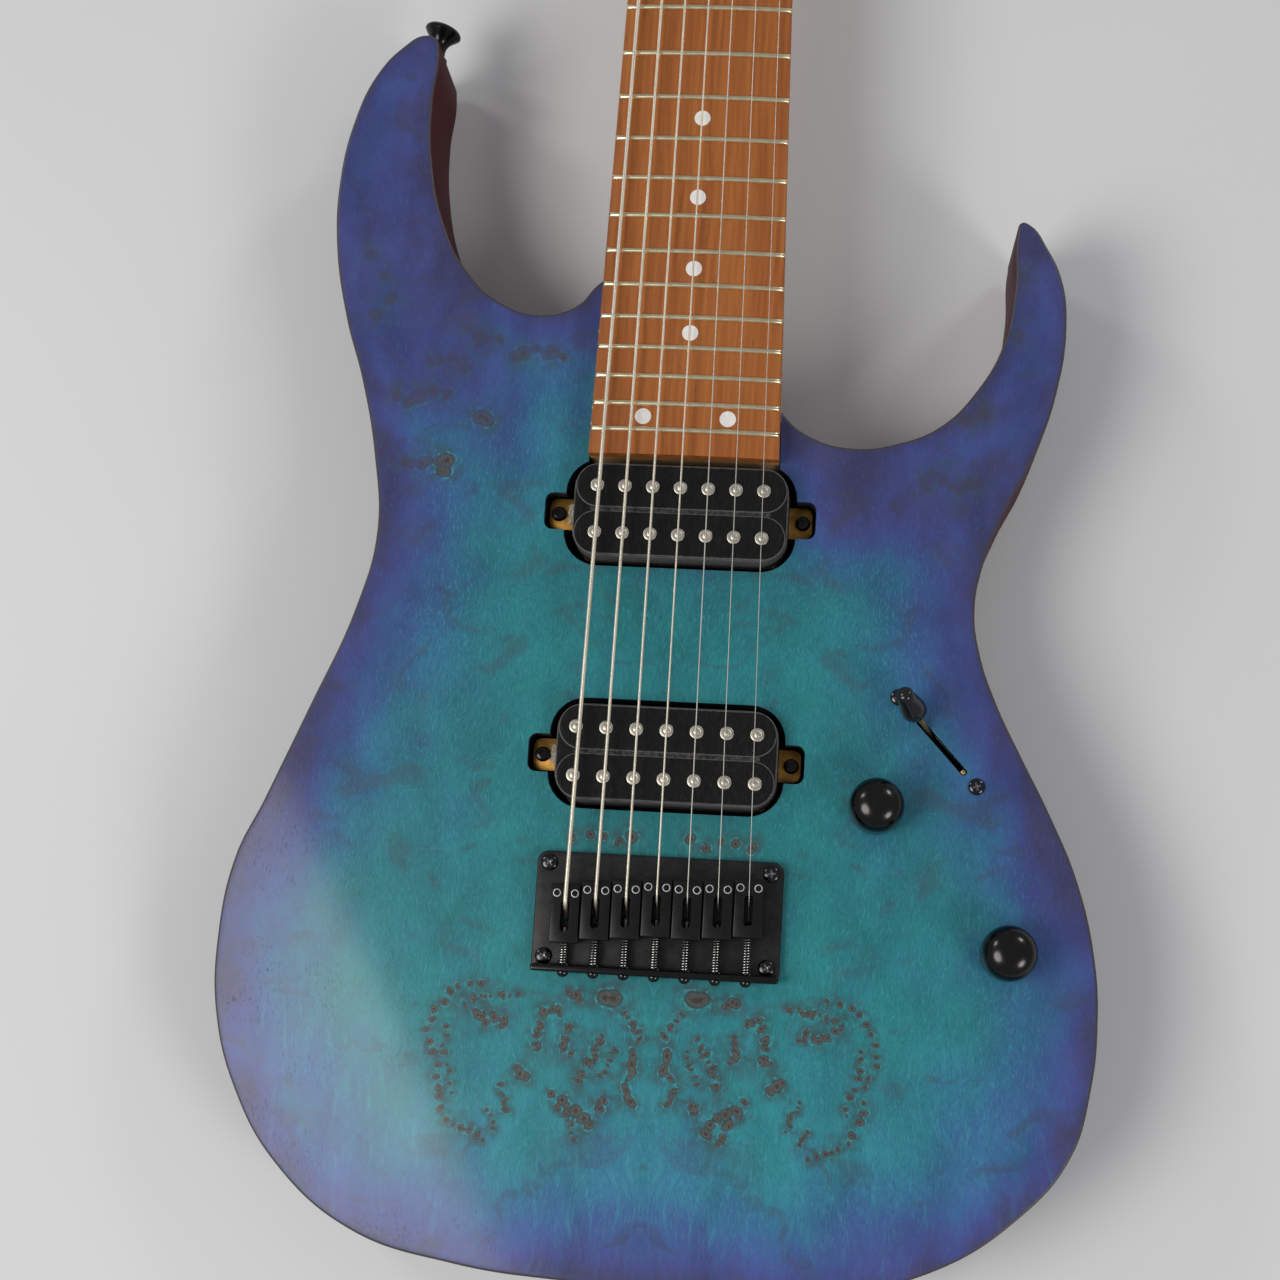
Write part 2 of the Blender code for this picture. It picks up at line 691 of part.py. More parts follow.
def make_tuner(index, head_frame):
    """One tuning machine: a housing, the post on its wheel, and the button on its worm."""
    number = index + 1
    spot = bpy.data.objects.new(f"tuner_frame_{number}", None)
    PARTS.objects.link(spot)
    place(spot, (*post_spot(index), 0), (0, 0, math.pi / 2 - TUNER_ANGLE), head_frame)
    make_tuner_housing(number, spot)
    make_tuner_post(number, spot)
    make_tuner_button(number, spot)


def make_tuner_housing(number, spot):
    """The housing behind the headstock, with room for the wheel, the post and the worm."""
    low = (*HOUSING_LOW, HOUSING_TOP_W - HOUSING_HEIGHT)
    housing = finish(box(f"tuner_housing_{number}", low, (*HOUSING_HIGH, HOUSING_TOP_W)), BLACK_METAL)
    place(housing, parent=spot)
    half = WHEEL_HALF + WHEEL_ROOM
    wheel_room = cylinder(f"wheel_room_{number}", WHEEL_RADIUS + WHEEL_ROOM, WORM_W - half, WORM_W + half, 12)
    cut(housing, place(wheel_room, parent=spot))
    cut(housing, place(cylinder(f"post_room_{number}", POST_RADIUS + WHEEL_ROOM, WORM_W, 0, 12), parent=spot))
    worm_room = cylinder(f"worm_room_{number}", WORM_RADIUS + 0.5, -WORM_TAIL - 1, 30, 8)
    cut(housing, place(worm_room, (WORM_OFFSET, 0, WORM_W), (-math.pi / 2, 0, 0), spot))


def make_tuner_post(number, spot):
    """The waisted post that a string winds on, with the worm wheel at its foot."""
    waist = POST_RADIUS - 0.5
    profile = [
        (0, POST_HEIGHT), (POST_RADIUS - 0.6, POST_HEIGHT), (POST_RADIUS, POST_HEIGHT - 0.6), (POST_RADIUS, 12.5),
        (waist, 11.5), (waist, 6.5), (POST_RADIUS, 5.5), (POST_RADIUS, WORM_W + WHEEL_HALF),
        (WHEEL_RADIUS, WORM_W + WHEEL_HALF), (WHEEL_RADIUS, WORM_W - WHEEL_HALF), (0, WORM_W - WHEEL_HALF),
    ]
    place(finish(turned(f"tuner_post_{number}", profile, 12), BLACK_METAL), parent=spot)


def make_tuner_button(number, spot):
    """The worm's shaft, with the winged button at its end."""
    end = BUTTON_REACH + COLLAR_LENGTH
    profile = [
        (0, end), (COLLAR_RADIUS, end), (COLLAR_RADIUS, BUTTON_REACH), (WORM_RADIUS, BUTTON_REACH - 2),
        (WORM_RADIUS, -WORM_TAIL), (0, -WORM_TAIL),
    ]
    at = ((WORM_OFFSET, 0, WORM_W), (-math.pi / 2, 0, 0), spot)
    button = place(finish(turned(f"tuner_button_{number}", profile, 8), BLACK_METAL), *at)
    low = (-WING_HALF_WIDTH, -WING_HALF_THICKNESS, BUTTON_REACH + WING_START)
    high = (WING_HALF_WIDTH, WING_HALF_THICKNESS, BUTTON_REACH + WING_END)
    wings = place(box(f"button_wings_{number}", low, high), *at)
    round_edges(wings, 2.0, segments=1)
    join(button, wings)


def make_pickup(name, at):
    """One pickup: a metal baseplate with ears, and a pair of coils above it."""
    y = at["y"]
    plate_top = BASEPLATE_Z + BASEPLATE_THICKNESS
    plate = rounded_rectangle(at["width"] - 2, BASEPLATE_LENGTH, 7, (0, y), steps=3)
    baseplate = finish(slab(name + "_baseplate", plate, BASEPLATE_Z, plate_top), GOLD)
    ears = rounded_rectangle(*EARS_SIZE, 2.5, (EARS_X, at["ear_y"]), steps=2)
    join(baseplate, slab(name + "_ears", ears, BASEPLATE_Z + 0.1, plate_top - 0.1))
    radius = BOBBIN_DEPTH / 2 - 0.5
    coils = None
    for side in (-1, 1):
        middle = (0, y + side * BOBBIN_SPACING / 2)
        outline = rounded_rectangle(at["width"], BOBBIN_DEPTH, radius, middle)
        bobbin = slab(f"{name}_coils" if coils is None else f"{name}_rear_coil", outline, plate_top + 2, BOBBIN_TOP_Z)
        if coils is None:
            coils = finish(bobbin, BLACK_PLASTIC)
            round_edges(coils, 0.6, segments=1)
        else:
            round_edges(bobbin, 0.6, segments=1)
            join(coils, bobbin)
    half = at["width"] / 2 - 5
    low = (-half, y - BOBBIN_SPACING / 2 - 5, plate_top + GAP)
    high = (half, y + BOBBIN_SPACING / 2 + 5, BOBBIN_TOP_Z - 1.5)
    join(coils, box(name + "_magnet_block", low, high))


def make_bridge():
    """The bridge's plate, with its raised rear lip and a hole for each string."""
    middle_y = (PLATE_FRONT_Y + PLATE_REAR_Y) / 2
    outline = rounded_rectangle(PLATE_WIDTH, PLATE_FRONT_Y - PLATE_REAR_Y, 2.5, (0, middle_y), steps=3)
    plate_top = PLATE_BOTTOM_Z + PLATE_THICKNESS
    plate = finish(slab("bridge_plate", outline, PLATE_BOTTOM_Z, plate_top), BLACK_METAL)
    half = PLATE_WIDTH / 2 - 0.2
    low = (-half, PLATE_REAR_Y + 0.05, PLATE_BOTTOM_Z + 0.5)
    high = (half, PLATE_REAR_Y + LIP_THICKNESS, LIP_TOP_Z)
    join(plate, box("bridge_lip", low, high))
    for hole in string_holes("bridge_"):
        cut(plate, hole)


def make_saddle(index):
    """One saddle: a slotted block on two height screws."""
    name = f"saddle_{index + 1}"
    x = string_place(index) * BRIDGE_PITCH
    top = SADDLE_STRING_Z - crown_drop(x) - STRING_DIAMETERS[index] / 2 - GAP
    half = SADDLE_WIDTH / 2
    saddle = finish(box(name, (-half, SADDLE_REAR, SADDLE_BOTTOM_Z), (half, SADDLE_FRONT, top)), BLACK_METAL)
    place(saddle, (x, SADDLE_SCREW_Y[index], 0))
    round_edges(saddle, 0.7, segments=1)
    low = (-SLOT_WIDTH / 2, SLOT_REAR, SADDLE_BOTTOM_Z - 2)
    high = (SLOT_WIDTH / 2, SLOT_FRONT, top + 3)
    cut(saddle, place(box(name + "_slot", low, high), (x, SADDLE_SCREW_Y[index], 0)))
    for side in (-1, 1):
        foot = cylinder(f"{name}_foot_{side}", 1.2, PLATE_BOTTOM_Z + PLATE_THICKNESS + GAP, SADDLE_BOTTOM_Z + 3, 8)
        join(saddle, place(foot, (x + side * 3.1, SADDLE_SCREW_Y[index], 0)))


def string_points(index, head_frame):
    """A string's route: up through the body, over its saddle and the nut, to its post."""
    place_across = string_place(index)
    bridge_x = place_across * BRIDGE_PITCH
    nut_x = place_across * NUT_PITCH
    radius = STRING_DIAMETERS[index] / 2
    saddle_y = SADDLE_SCREW_Y[index] + SLOT_FRONT - radius - GAP
    saddle_z = SADDLE_STRING_Z - crown_drop(bridge_x)
    nut_z = NUT_STRING_Z - crown_drop(nut_x) + GAP / 2
    _, post_v = post_spot(index)
    end = head_frame.matrix_world @ (Vector((nut_x, post_v, 9.0)) * MM) / MM
    return [
        (bridge_x, STRING_HOLE_Y, 5.0), (bridge_x, STRING_HOLE_Y, 46.2), (bridge_x, saddle_y, saddle_z),
        (nut_x, SCALE_LENGTH - 0.5, nut_z), (nut_x, SCALE_LENGTH + NUT_LENGTH + 0.6, nut_z - 0.05), tuple(end),
    ]


def make_string(index, head_frame):
    """One string along its whole route."""
    points = string_points(index, head_frame)
    finish(tube(f"string_{index + 1}", points, STRING_DIAMETERS[index] / 2), STEEL)


def make_control(name, spot):
    """A pot under the top, and the knob on its shaft."""
    pot_profile = [
        (0, 30), (SHAFT_RADIUS + 0.4, 30), (SHAFT_RADIUS + 0.4, POT_NUT_TOP_Z), (POT_NUT_RADIUS, POT_NUT_TOP_Z),
        (POT_NUT_RADIUS, BODY_THICKNESS + GAP), (POT_BUSHING_RADIUS, BODY_THICKNESS + GAP),
        (POT_BUSHING_RADIUS, CAVITY_TOP_Z - GAP), (POT_RADIUS, CAVITY_TOP_Z - GAP), (POT_RADIUS, POT_BOTTOM_Z),
        (0, POT_BOTTOM_Z),
    ]
    pot = finish(turned(f"{name}_pot", pot_profile, 20), POT_METAL)
    place(pot, (*spot, 0))
    knob_profile = [
        (0, KNOB_TOP_Z), (5.4, KNOB_TOP_Z - 0.5), (7.6, KNOB_TOP_Z - 1.8), (8.9, KNOB_TOP_Z - 4.0),
        (KNOB_RADIUS, KNOB_TOP_Z - 7.5), (KNOB_RADIUS, KNOB_BOTTOM_Z), (SHAFT_RADIUS, KNOB_BOTTOM_Z),
        (SHAFT_RADIUS, 31), (0, 31),
    ]
    knob = finish(turned(f"{name}_knob", knob_profile, 24), BLACK_METAL)
    place(knob, (*spot, 0))


def make_switch():
    """The blade switch: its frame under the top, the lever that swings in it, and the lever's tip."""
    across = place(box("switch_frame", (-25, -6.5, 8), (25, 6.5, CAVITY_TOP_Z - GAP)), (*SWITCH_AT, 0))
    across.rotation_euler = (0, 0, SWITCH_ANGLE)
    finish(across, POT_METAL)
    slot = place(box("switch_frame_slot", (-20, -2.0, 5), (20, 2.0, 60)), (*SWITCH_AT, 0), (0, 0, SWITCH_ANGLE))
    cut(across, slot)
    pivot = bpy.data.objects.new("switch_pivot", None)
    PARTS.objects.link(pivot)
    place(pivot, (*SWITCH_AT, SWITCH_PIVOT_Z), (0, -SWITCH_THROW, SWITCH_ANGLE))
    half = LEVER_THICKNESS / 2
    lever = finish(box("switch_lever", (-2.6, -half, -4), (2.6, half, LEVER_LENGTH)), GOLD)
    place(lever, parent=pivot)
    tip_profile = [
        (0, 34.2), (2.2, 33.8), (3.1, 32.4), (3.3, 30.4), (4.0, 26.6), (4.6, 23.6), (4.4, 21.4), (3.4, 20.0),
        (0, LEVER_LENGTH + GAP),
    ]
    tip = finish(turned("switch_tip", tip_profile, 16), BLACK_PLASTIC)
    place(tip, parent=pivot)


def make_jack():
    """The output jack: a plate let into the side, with its barrel behind."""
    wide, tall = JACK_PLATE_HALF
    plate = box("output_jack", (-wide, -tall, JACK_PLATE_BACK), (wide, tall, JACK_PLATE_FRONT))
    place(finish(plate, BLACK_METAL), *jack_place())
    round_edges(plate, 0.5, segments=1)
    barrel = cylinder("jack_barrel", JACK_BARREL_RADIUS, -JACK_BARREL_LENGTH, JACK_PLATE_BACK + 1.4, 20)
    join(plate, place(barrel, *jack_place()))
    cut(plate, place(cylinder("jack_mouth", JACK_MOUTH_RADIUS, -JACK_MOUTH_DEPTH, 10, 16), *jack_place()))
    cut(plate, place(cylinder("jack_bore_inside", JACK_BORE_RADIUS, -30, 5, 16), *jack_place()))


def make_strap_buttons():
    """The two buttons that a strap hooks onto."""
    profile = [
        (0, 13.4), (5.2, 13.0), (7.0, 12.0), (7.2, 10.6), (5.0, 8.6), (3.4, 6.5), (3.6, 3.0), (5.4, GAP), (0, GAP),
    ]
    for name, (x, y, direction) in STRAP_BUTTONS.items():
        button = finish(turned(name, profile, 20), BLACK_METAL)
        place(button, (x, y, BODY_MIDDLE_Z), (0, math.pi / 2, direction))


def build():
    """Make every part."""
    make_top()
    make_core()
    make_back_plates()
    head_frame = make_headstock_frame()
    make_neck(head_frame)
    make_fretboard()
    make_nut()
    make_truss_rod(head_frame)
    for index in range(STRING_COUNT):
        make_tuner(index, head_frame)
        make_saddle(index)
        make_string(index, head_frame)
    for name, at in PICKUPS.items():
        make_pickup(name, at)
    make_bridge()
    make_control("volume", VOLUME_AT)
    make_control("tone", TONE_AT)
    make_switch()
    make_jack()
    make_strap_buttons()


build()
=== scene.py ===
"""The looks of a seven-string electric guitar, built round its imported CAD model.

Lengths are in millimetres, in the CAD's own frame: +Z is the front, +Y runs from the bridge to the
headstock and +X is the treble side.  The helpers turn them into metres.
"""
import json
import math
import random

import bmesh
import bpy
import numpy as np
from mathutils import Euler, Matrix, Vector, geometry


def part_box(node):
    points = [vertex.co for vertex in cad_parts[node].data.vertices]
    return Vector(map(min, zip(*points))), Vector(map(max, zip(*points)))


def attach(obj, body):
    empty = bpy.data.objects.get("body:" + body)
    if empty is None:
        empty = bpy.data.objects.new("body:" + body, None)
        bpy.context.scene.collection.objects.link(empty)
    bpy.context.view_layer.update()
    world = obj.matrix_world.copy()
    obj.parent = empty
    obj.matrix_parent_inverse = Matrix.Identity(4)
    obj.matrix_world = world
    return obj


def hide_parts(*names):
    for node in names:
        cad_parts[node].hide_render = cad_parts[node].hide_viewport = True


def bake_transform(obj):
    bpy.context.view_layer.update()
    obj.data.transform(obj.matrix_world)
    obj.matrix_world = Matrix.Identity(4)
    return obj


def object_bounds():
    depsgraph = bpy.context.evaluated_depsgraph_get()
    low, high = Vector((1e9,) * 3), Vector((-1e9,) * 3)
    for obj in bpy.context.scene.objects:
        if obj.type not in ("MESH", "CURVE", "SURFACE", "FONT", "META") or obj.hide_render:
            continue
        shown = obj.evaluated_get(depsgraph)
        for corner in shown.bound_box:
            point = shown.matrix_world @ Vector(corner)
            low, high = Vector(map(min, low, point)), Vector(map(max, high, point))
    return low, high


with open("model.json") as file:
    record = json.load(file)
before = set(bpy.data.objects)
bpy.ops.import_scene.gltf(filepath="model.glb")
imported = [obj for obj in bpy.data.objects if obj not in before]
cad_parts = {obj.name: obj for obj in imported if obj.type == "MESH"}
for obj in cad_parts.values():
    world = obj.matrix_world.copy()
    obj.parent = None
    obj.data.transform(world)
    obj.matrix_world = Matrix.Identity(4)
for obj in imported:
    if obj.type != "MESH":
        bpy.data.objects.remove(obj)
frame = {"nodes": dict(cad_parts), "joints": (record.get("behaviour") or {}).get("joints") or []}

CAD_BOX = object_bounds()
MM = 0.001
JOINTS = {joint["name"]: joint for joint in frame["joints"]}
SHARP_ANGLE = math.radians(32)

# Body: the outline and the contours are the CAD's own
BODY_TOP = 44.0
VENEER = 3.0
TOP_ROUND = 0.9
BACK_ROUND = 1.2
BODY_OUTLINE = (
    (28, 184), (35.5, 171), (45, 163.8), (60, 160.2), (76, 162.6), (91, 169.4), (104, 183.8), (112.6, 201),
    (116, 221), (116.4, 243), (117.6, 247.2), (120.6, 246.6), (127.4, 237.5), (132.7, 226), (134.8, 210),
    (132, 184), (124, 158), (114.5, 138), (107.9, 119.5), (105.4, 103), (107.8, 87), (114, 70), (123, 52),
    (133.5, 32), (143.6, 9), (150, -17), (151.5, -38), (149.8, -60), (143.4, -83.5), (126.4, -104.5),
    (98.2, -123.6), (62, -133.2), (20, -136.2), (-24, -134.6), (-64, -131.7), (-101.5, -123.2),
    (-130.5, -102.5),
    (-147, -78.5), (-156, -52), (-157.2, -25), (-152.6, 3), (-142.8, 24.2), (-129, 58), (-115.5, 94),
    (-110, 122), (-113.4, 152),
    (-120, 179), (-128, 203), (-134, 231), (-134.9, 256), (-131.5, 279), (-124.5, 298), (-115, 310),
    (-107.3, 314.8), (-102.8, 313.4), (-101.3, 308), (-102.3, 287), (-100.8, 265), (-94.5, 240.5),
    (-84, 221.5),
    (-70, 209.8), (-56, 206.3), (-43, 210), (-35, 219), (-22, 227), (2, 219), (18, 202),
)
ARM_POINT = Vector((-92.0, -47.5))
ARM_OUTWARD = Vector((-0.869, -0.495))
ARM_SLOPE = math.tan(math.radians(11.0))
ARM_CREST = 9.0
BELLY_CENTRE = Vector((-132.0, 118.0))
BELLY_RADIUS = 85.0
BELLY_DEPTH = 17.0
GRID_STEP = 4.0
ROW_SPACING = 0.866
WELL_SIZE = (83.2, 39.4)
WELL_CORNER = 12.5
EAR_SLOT = (97.6, 13.6)
WELL_FLOOR = 22.0
SWITCH_SLOT = 30.0
CUTTER_TOP = 60.0
RIM_RING_INSET = 1.7
FLAT_MARGIN = 3.2

# Dye: how far the blue reaches in from the edge, how sharply it fades, and how blue the horns are
TINT_REACH = 34.0
TINT_POWER = 1.15
HORN_TINT = 0.85

CAVITY_OUTLINE = (
    (64, 80), (90, 83), (104, 66), (119, 38), (134, 6), (137, -22), (124, -38), (104, -34), (84, -12),
    (58, 14), (53, 42), (55, 66),
)
COVER_MARGIN = 7.0
JACK_AT = Vector((136.7, -93.2, 22.0))
JACK_ANGLE = math.atan2(-0.55, 0.835)

# Rows of eyes on one side of the burl; the veneer is bookmatched, so each is repeated across the seam.
# A row: how many eyes, their radius, how long they are across the row, and the row's path.
EYE_ROWS = (
    (15, 1.15, 1.1, ((-58, -36), (-67, -37), (-75, -45), (-78, -54), (-74, -65), (-73, -74), (-70, -82))),
    (6, 1.1, 1.2, ((-70, -83), (-61, -87), (-54, -90))),
    (11, 0.95, 1.7, ((-66, -44), (-60, -41), (-52, -40), (-45, -39.5))),
    (9, 1.25, 1.2, ((-63, -46), (-58, -50), (-53, -48), (-50, -51))),
    (8, 0.95, 1.3, ((-71, -50), (-72, -58), (-69, -68), (-67, -76))),
    (9, 1.25, 1.8, ((-31, -45), (-37, -44), (-39.5, -50), (-39.5, -60))),
    (3, 1.6, 1.2, ((-47.5, -63), (-44, -66), (-41, -69))),
    (8, 0.8, 1.8, ((-52, -69.5), (-50, -74), (-47.5, -81))),
    (4, 0.9, 1.3, ((-55, -79), (-52, -86))),
    (6, 1.75, 1.2, ((-34, -71), (-28, -75.5), (-22, -79), (-19, -85))),
    (7, 1.0, 1.4, ((-32, -76), (-27, -81), (-24, -88))),
    (10, 1.15, 2.0, ((-16, -51), (-19, -58), (-22, -63), (-24, -69))),
    (6, 0.9, 1.9, ((-12, -55), (-14, -61), (-17, -67))),
    (5, 1.7, 0.55, ((-6, -56), (-5.5, -64), (-8.5, -69), (-6, -75))),
    (4, 1.1, 1.4, ((-15, -73), (-17, -77))),
    (6, 1.0, 1.8, ((-10, -43), (-7, -47), (-4, -53))),
    (2, 3.6, 0.8, ((-19, -38.5), (-12, -39))),
    (4, 1.3, 1.1, ((-30, -38), (-24, -40))),
    (9, 1.0, 1.5, ((-28, -49), (-30, -56), (-27, -60))),
    (5, 1.8, 1.1, ((-34, 15), (-24, 17), (-15, 15), (-8, 18))),
    (5, 2.5, 1.1, ((-109, 175), (-101, 172), (-93, 176), (-86, 174))),
    (2, 3.3, 0.9, ((-77, 168), (-73, 165))),
    (7, 2.0, 1.3, ((-83, 200), (-78, 196), (-70, 197))),
    (6, 2.3, 1.2, ((-66, 190), (-56, 193), (-44, 190))),
    (8, 2.2, 1.2, ((-108, 149), (-98, 147), (-88, 151), (-86, 144))),
    (4, 2.7, 1.1, ((-119, 200), (-111, 214), (-122, 230))),
    (5, 2.2, 1.2, ((-98, 186), (-88, 190), (-80, 184))),
)
EYE_LIMIT = 4.0

# Strings
STRING_DIAMETERS = (1.5, 1.2, 0.95, 0.7, 0.45, 0.35, 0.28)
WOUND_STRINGS = 4
STRING_COUNT = len(STRING_DIAMETERS)
SCALE_LENGTH = 648.0
NUT_PITCH = 6.9
BOARD_RADIUS = 400.0
STRING_HOLE_Y = -12.5
SADDLE_STRING_Z = 56.4
NUT_STRING_Z = 54.6
SLOT_FRONT = -2.4
SLOT_REAR = -13.2
SADDLE_SCREW_Y = (-4.6, -3.1, -2.2, -1.0, -1.3, -0.5, 0.5)
HEX_TIPS = (1.6, 0.5, 3.2, 2.2, 2.5, 1.3, 0.5)

# Neck and fretboard
NUT_HALF_WIDTH = 24.0
LAST_FRET_HALF_WIDTH = 34.0
FRET_COUNT = 24
DOTTED_FRETS = (3, 5, 7, 9, 12, 15, 17, 19, 21, 24)
OCTAVES = (12, 24)
DOT_SPREAD = 15.2
SIDE_DOT_SPREAD = 3.0
BOARD_BOTTOM = 46.5
BOARD_TOP = 52.5
FRET_HEIGHT = 1.0
FRET_HALF_WIDTH = 1.02
HEEL_DEPTH = 18.5
# Where along the neck, how deep it is there, and how square
NECK_SECTIONS = (
    (153.2, HEEL_DEPTH, 12.0), (214.0, HEEL_DEPTH, 12.0), (232.0, 17.8, 6.0), (250.0, 16.2, 3.4),
    (275.0, 15.4, 2.5),
    (400.0, 14.8, 2.3), (540.0, 13.8, 2.3), (628.0, 13.2, 2.3), (642.0, 13.6, 3.2), (652.8, 14.2, 9.0),
)
HEAD_START = Vector((0, 652.8, 46.5))
HEAD_TILT = math.radians(8.0)
HEAD_THICKNESS = 14.0
HEAD_OUTLINE = (
    (23.8, 0), (24.6, 14), (28.5, 34), (33, 70), (37, 120), (41, 170), (41.5, 192), (36, 204), (25, 208.5),
    (13, 205), (4, 192), (-8, 150), (-24, 92), (-37, 46), (-37, 34), (-30, 20), (-24.6, 9), (-23.8, 0),
)

# Pickups: how far apart the poles are, and how far the ears lie from the pickup's middle
POLE_PITCH = {"neck_pickup": 9.93, "bridge_pickup": 10.6}
POLE_RADIUS = 2.45
POLE_SHIFT = -0.4
EAR_SHIFT = {"neck_pickup": 0.0, "bridge_pickup": -0.4}
SHELL_CORNER = 9.5

# Screws and buttons: where they are, x and y
BRIDGE_SCREWS = ((-38.8, 6.2), (38.6, 6.2), (-38.8, -26.1), (38.4, -26.1))
COVER_SCREWS = ((66, 82), (104, 79), (137, 8), (131, -38), (84, -20), (51, 28))
ROD_COVER_SCREWS = ((0, 39), (-7, 9), (7, 9))
SWITCH_SCREW_REACH = 20.6
STRAP_BUTTONS = {"upper": (-107.8, 315.3, math.radians(74)), "lower": (0.0, -136.3, math.radians(-90))}

# Camera, fitted to the photograph: place in metres, turn in degrees, lens on a 36 mm sensor
CAMERA_PLACE = (0.0533, -0.0502, 0.8107)
CAMERA_TURN = (10.37, 4.26, 3.42)
CAMERA_LENS = 61.84

# Lights: name, direction from the guitar, distance, size and watts
LIGHTS = (
    ("key_light", (-0.553, -0.265, 0.78), 1700, 950, 15.0),
    ("fill_light", (0.66, -0.50, 0.62), 1900, 620, 8.0),
    ("left_light", (-0.62, 0.42, 0.50), 2200, 420, 5.0),
    ("right_light", (0.55, 0.60, 0.48), 2200, 420, 5.0),
)
LIGHT_AIM = Vector((-30, 60, 40))


# ---------------------------------------------------------------- shapes, in millimetres


def skin(rows, first=None, last=None):
    """A closed skin over rings of points; first and last are the points that the ends close on."""
    shape = bmesh.new()
    rings = [[shape.verts.new(point) for point in row] for row in rows]
    count = len(rings[0])
    for ring, following in zip(rings, rings[1:]):
        for number in range(count):
            beside = (number + 1) % count
            shape.faces.new((ring[number], ring[beside], following[beside], following[number]))
    for ring, apex in ((rings[0], first), (rings[-1], last)):
        if apex is None:
            shape.faces.new(ring)
            continue
        tip = shape.verts.new(apex)
        for number in range(count):
            shape.faces.new((ring[number], ring[(number + 1) % count], tip))
    bmesh.ops.recalc_face_normals(shape, faces=shape.faces)
    return shape


def circle(radius, z, sides):
    """Points round the Z axis."""
    angles = [2 * math.pi * side / sides for side in range(sides)]
    return [Vector((radius * math.cos(angle), radius * math.sin(angle), z)) for angle in angles]


def turned(profile, sides=32):
    """A turned shape: (radius, height) pairs from one end of the axis to the other."""
    ends = [Vector((0, 0, z)) if radius == 0 else None for radius, z in (profile[0], profile[-1])]
    rows = [circle(radius, z, sides) for radius, z in profile if radius > 0]
    return skin(rows, *ends)


def tube(path, radius, sides=10):
    """A round bar along a path, its radius one number or one for each point."""
    points = [Vector(point) for point in path]
    radii = radius if isinstance(radius, (list, tuple)) else [radius] * len(points)
    across = None
    rows = []
    for number, point in enumerate(points):
        ahead = points[min(number + 1, len(points) - 1)] - points[max(number - 1, 0)]
        ahead.normalize()
        across = ahead.orthogonal() if across is None else across - ahead * across.dot(ahead)
        across.normalize()
        beside = ahead.cross(across)
        ring = circle(radii[number], 0, sides)
        rows.append([point + across * spot.x + beside * spot.y for spot in ring])
    return skin(rows)


def slab(outline, bottom, top, bevel=0.0, segments=3, both=False):
    """A flat outline between two heights, its upper rim rounded, and its lower one too if asked."""
    shape = skin([[Vector((x, y, bottom)) for x, y in outline], [Vector((x, y, top)) for x, y in outline]])
    if bevel:
        rims = []
        for height in (top, bottom) if both else (top,):
            for edge in shape.edges:
                if all(abs(vertex.co.z - height) < 1e-6 for vertex in edge.verts):
                    rims.append(edge)
        bmesh.ops.bevel(shape, geom=rims, offset=bevel, segments=segments, profile=0.5, affect="EDGES")
    return shape


def block(low, high, bevel=0.0, segments=3):
    """A box with rounded edges."""
    outline = ((low[0], low[1]), (high[0], low[1]), (high[0], high[1]), (low[0], high[1]))
    shape = slab(outline, low[2], high[2])
    if bevel:
        bmesh.ops.bevel(shape, geom=list(shape.edges), offset=bevel, segments=segments, profile=0.5,
            affect="EDGES")
    return shape


def pillow(half, power):
    """A rounded cushion-like solid with the given half sizes."""
    rings, sides = 14, 28

    def swell(value):
        return math.copysign(abs(value) ** (2 / power), value)

    rows = []
    for ring in range(1, rings):
        slope = math.pi * ring / rings - math.pi / 2
        wide = swell(math.cos(slope))
        row = []
        for side in range(sides):
            around = 2 * math.pi * side / sides
            spot = (wide * swell(math.cos(around)), wide * swell(math.sin(around)), swell(math.sin(slope)))
            row.append(Vector([size * share for size, share in zip(half, spot)]))
        rows.append(row)
    return skin(rows, Vector((0, 0, -half[2])), Vector((0, 0, half[2])))


def merged(*shapes):
    """Several shapes in one mesh."""
    whole = bmesh.new()
    for shape in shapes:
        mesh = bpy.data.meshes.new("part")
        shape.to_mesh(mesh)
        shape.free()
        whole.from_mesh(mesh)
        bpy.data.meshes.remove(mesh)
    return whole


def moved(shape, matrix):
    """The same shape, put somewhere else."""
    bmesh.ops.transform(shape, matrix=matrix, verts=shape.verts)
    return shape


def at(x, y, z=0.0, turn=0.0):
    """A place, turned about its upright axis."""
    return Matrix.Translation((x, y, z)) @ Matrix.Rotation(turn, 4, "Z")


def facing(origin, axis, side=None):
    """A place whose Z axis points along axis, and whose Y axis points along side if one is given."""
    upright = Vector(axis).normalized()
    beside = Vector(side) if side else upright.orthogonal()
    beside = (beside - upright * beside.dot(upright)).normalized()
    across = beside.cross(upright)
    turn = Matrix((across, beside, upright)).transposed().to_4x4()
    return Matrix.Translation(Vector(origin)) @ turn


def rounded_rectangle(width, height, radius, middle=(0, 0), steps=8):
    """The points of a rectangle with round corners, anticlockwise."""
    points = []
    for turn in range(4):
        side_x = 1 if turn in (0, 3) else -1
        side_y = 1 if turn in (0, 1) else -1
        x = middle[0] + side_x * (width / 2 - radius)
        y = middle[1] + side_y * (height / 2 - radius)
        for step in range(steps + 1):
            around = math.pi / 2 * (turn + step / steps)
            points.append((x + radius * math.cos(around), y + radius * math.sin(around)))
    return points


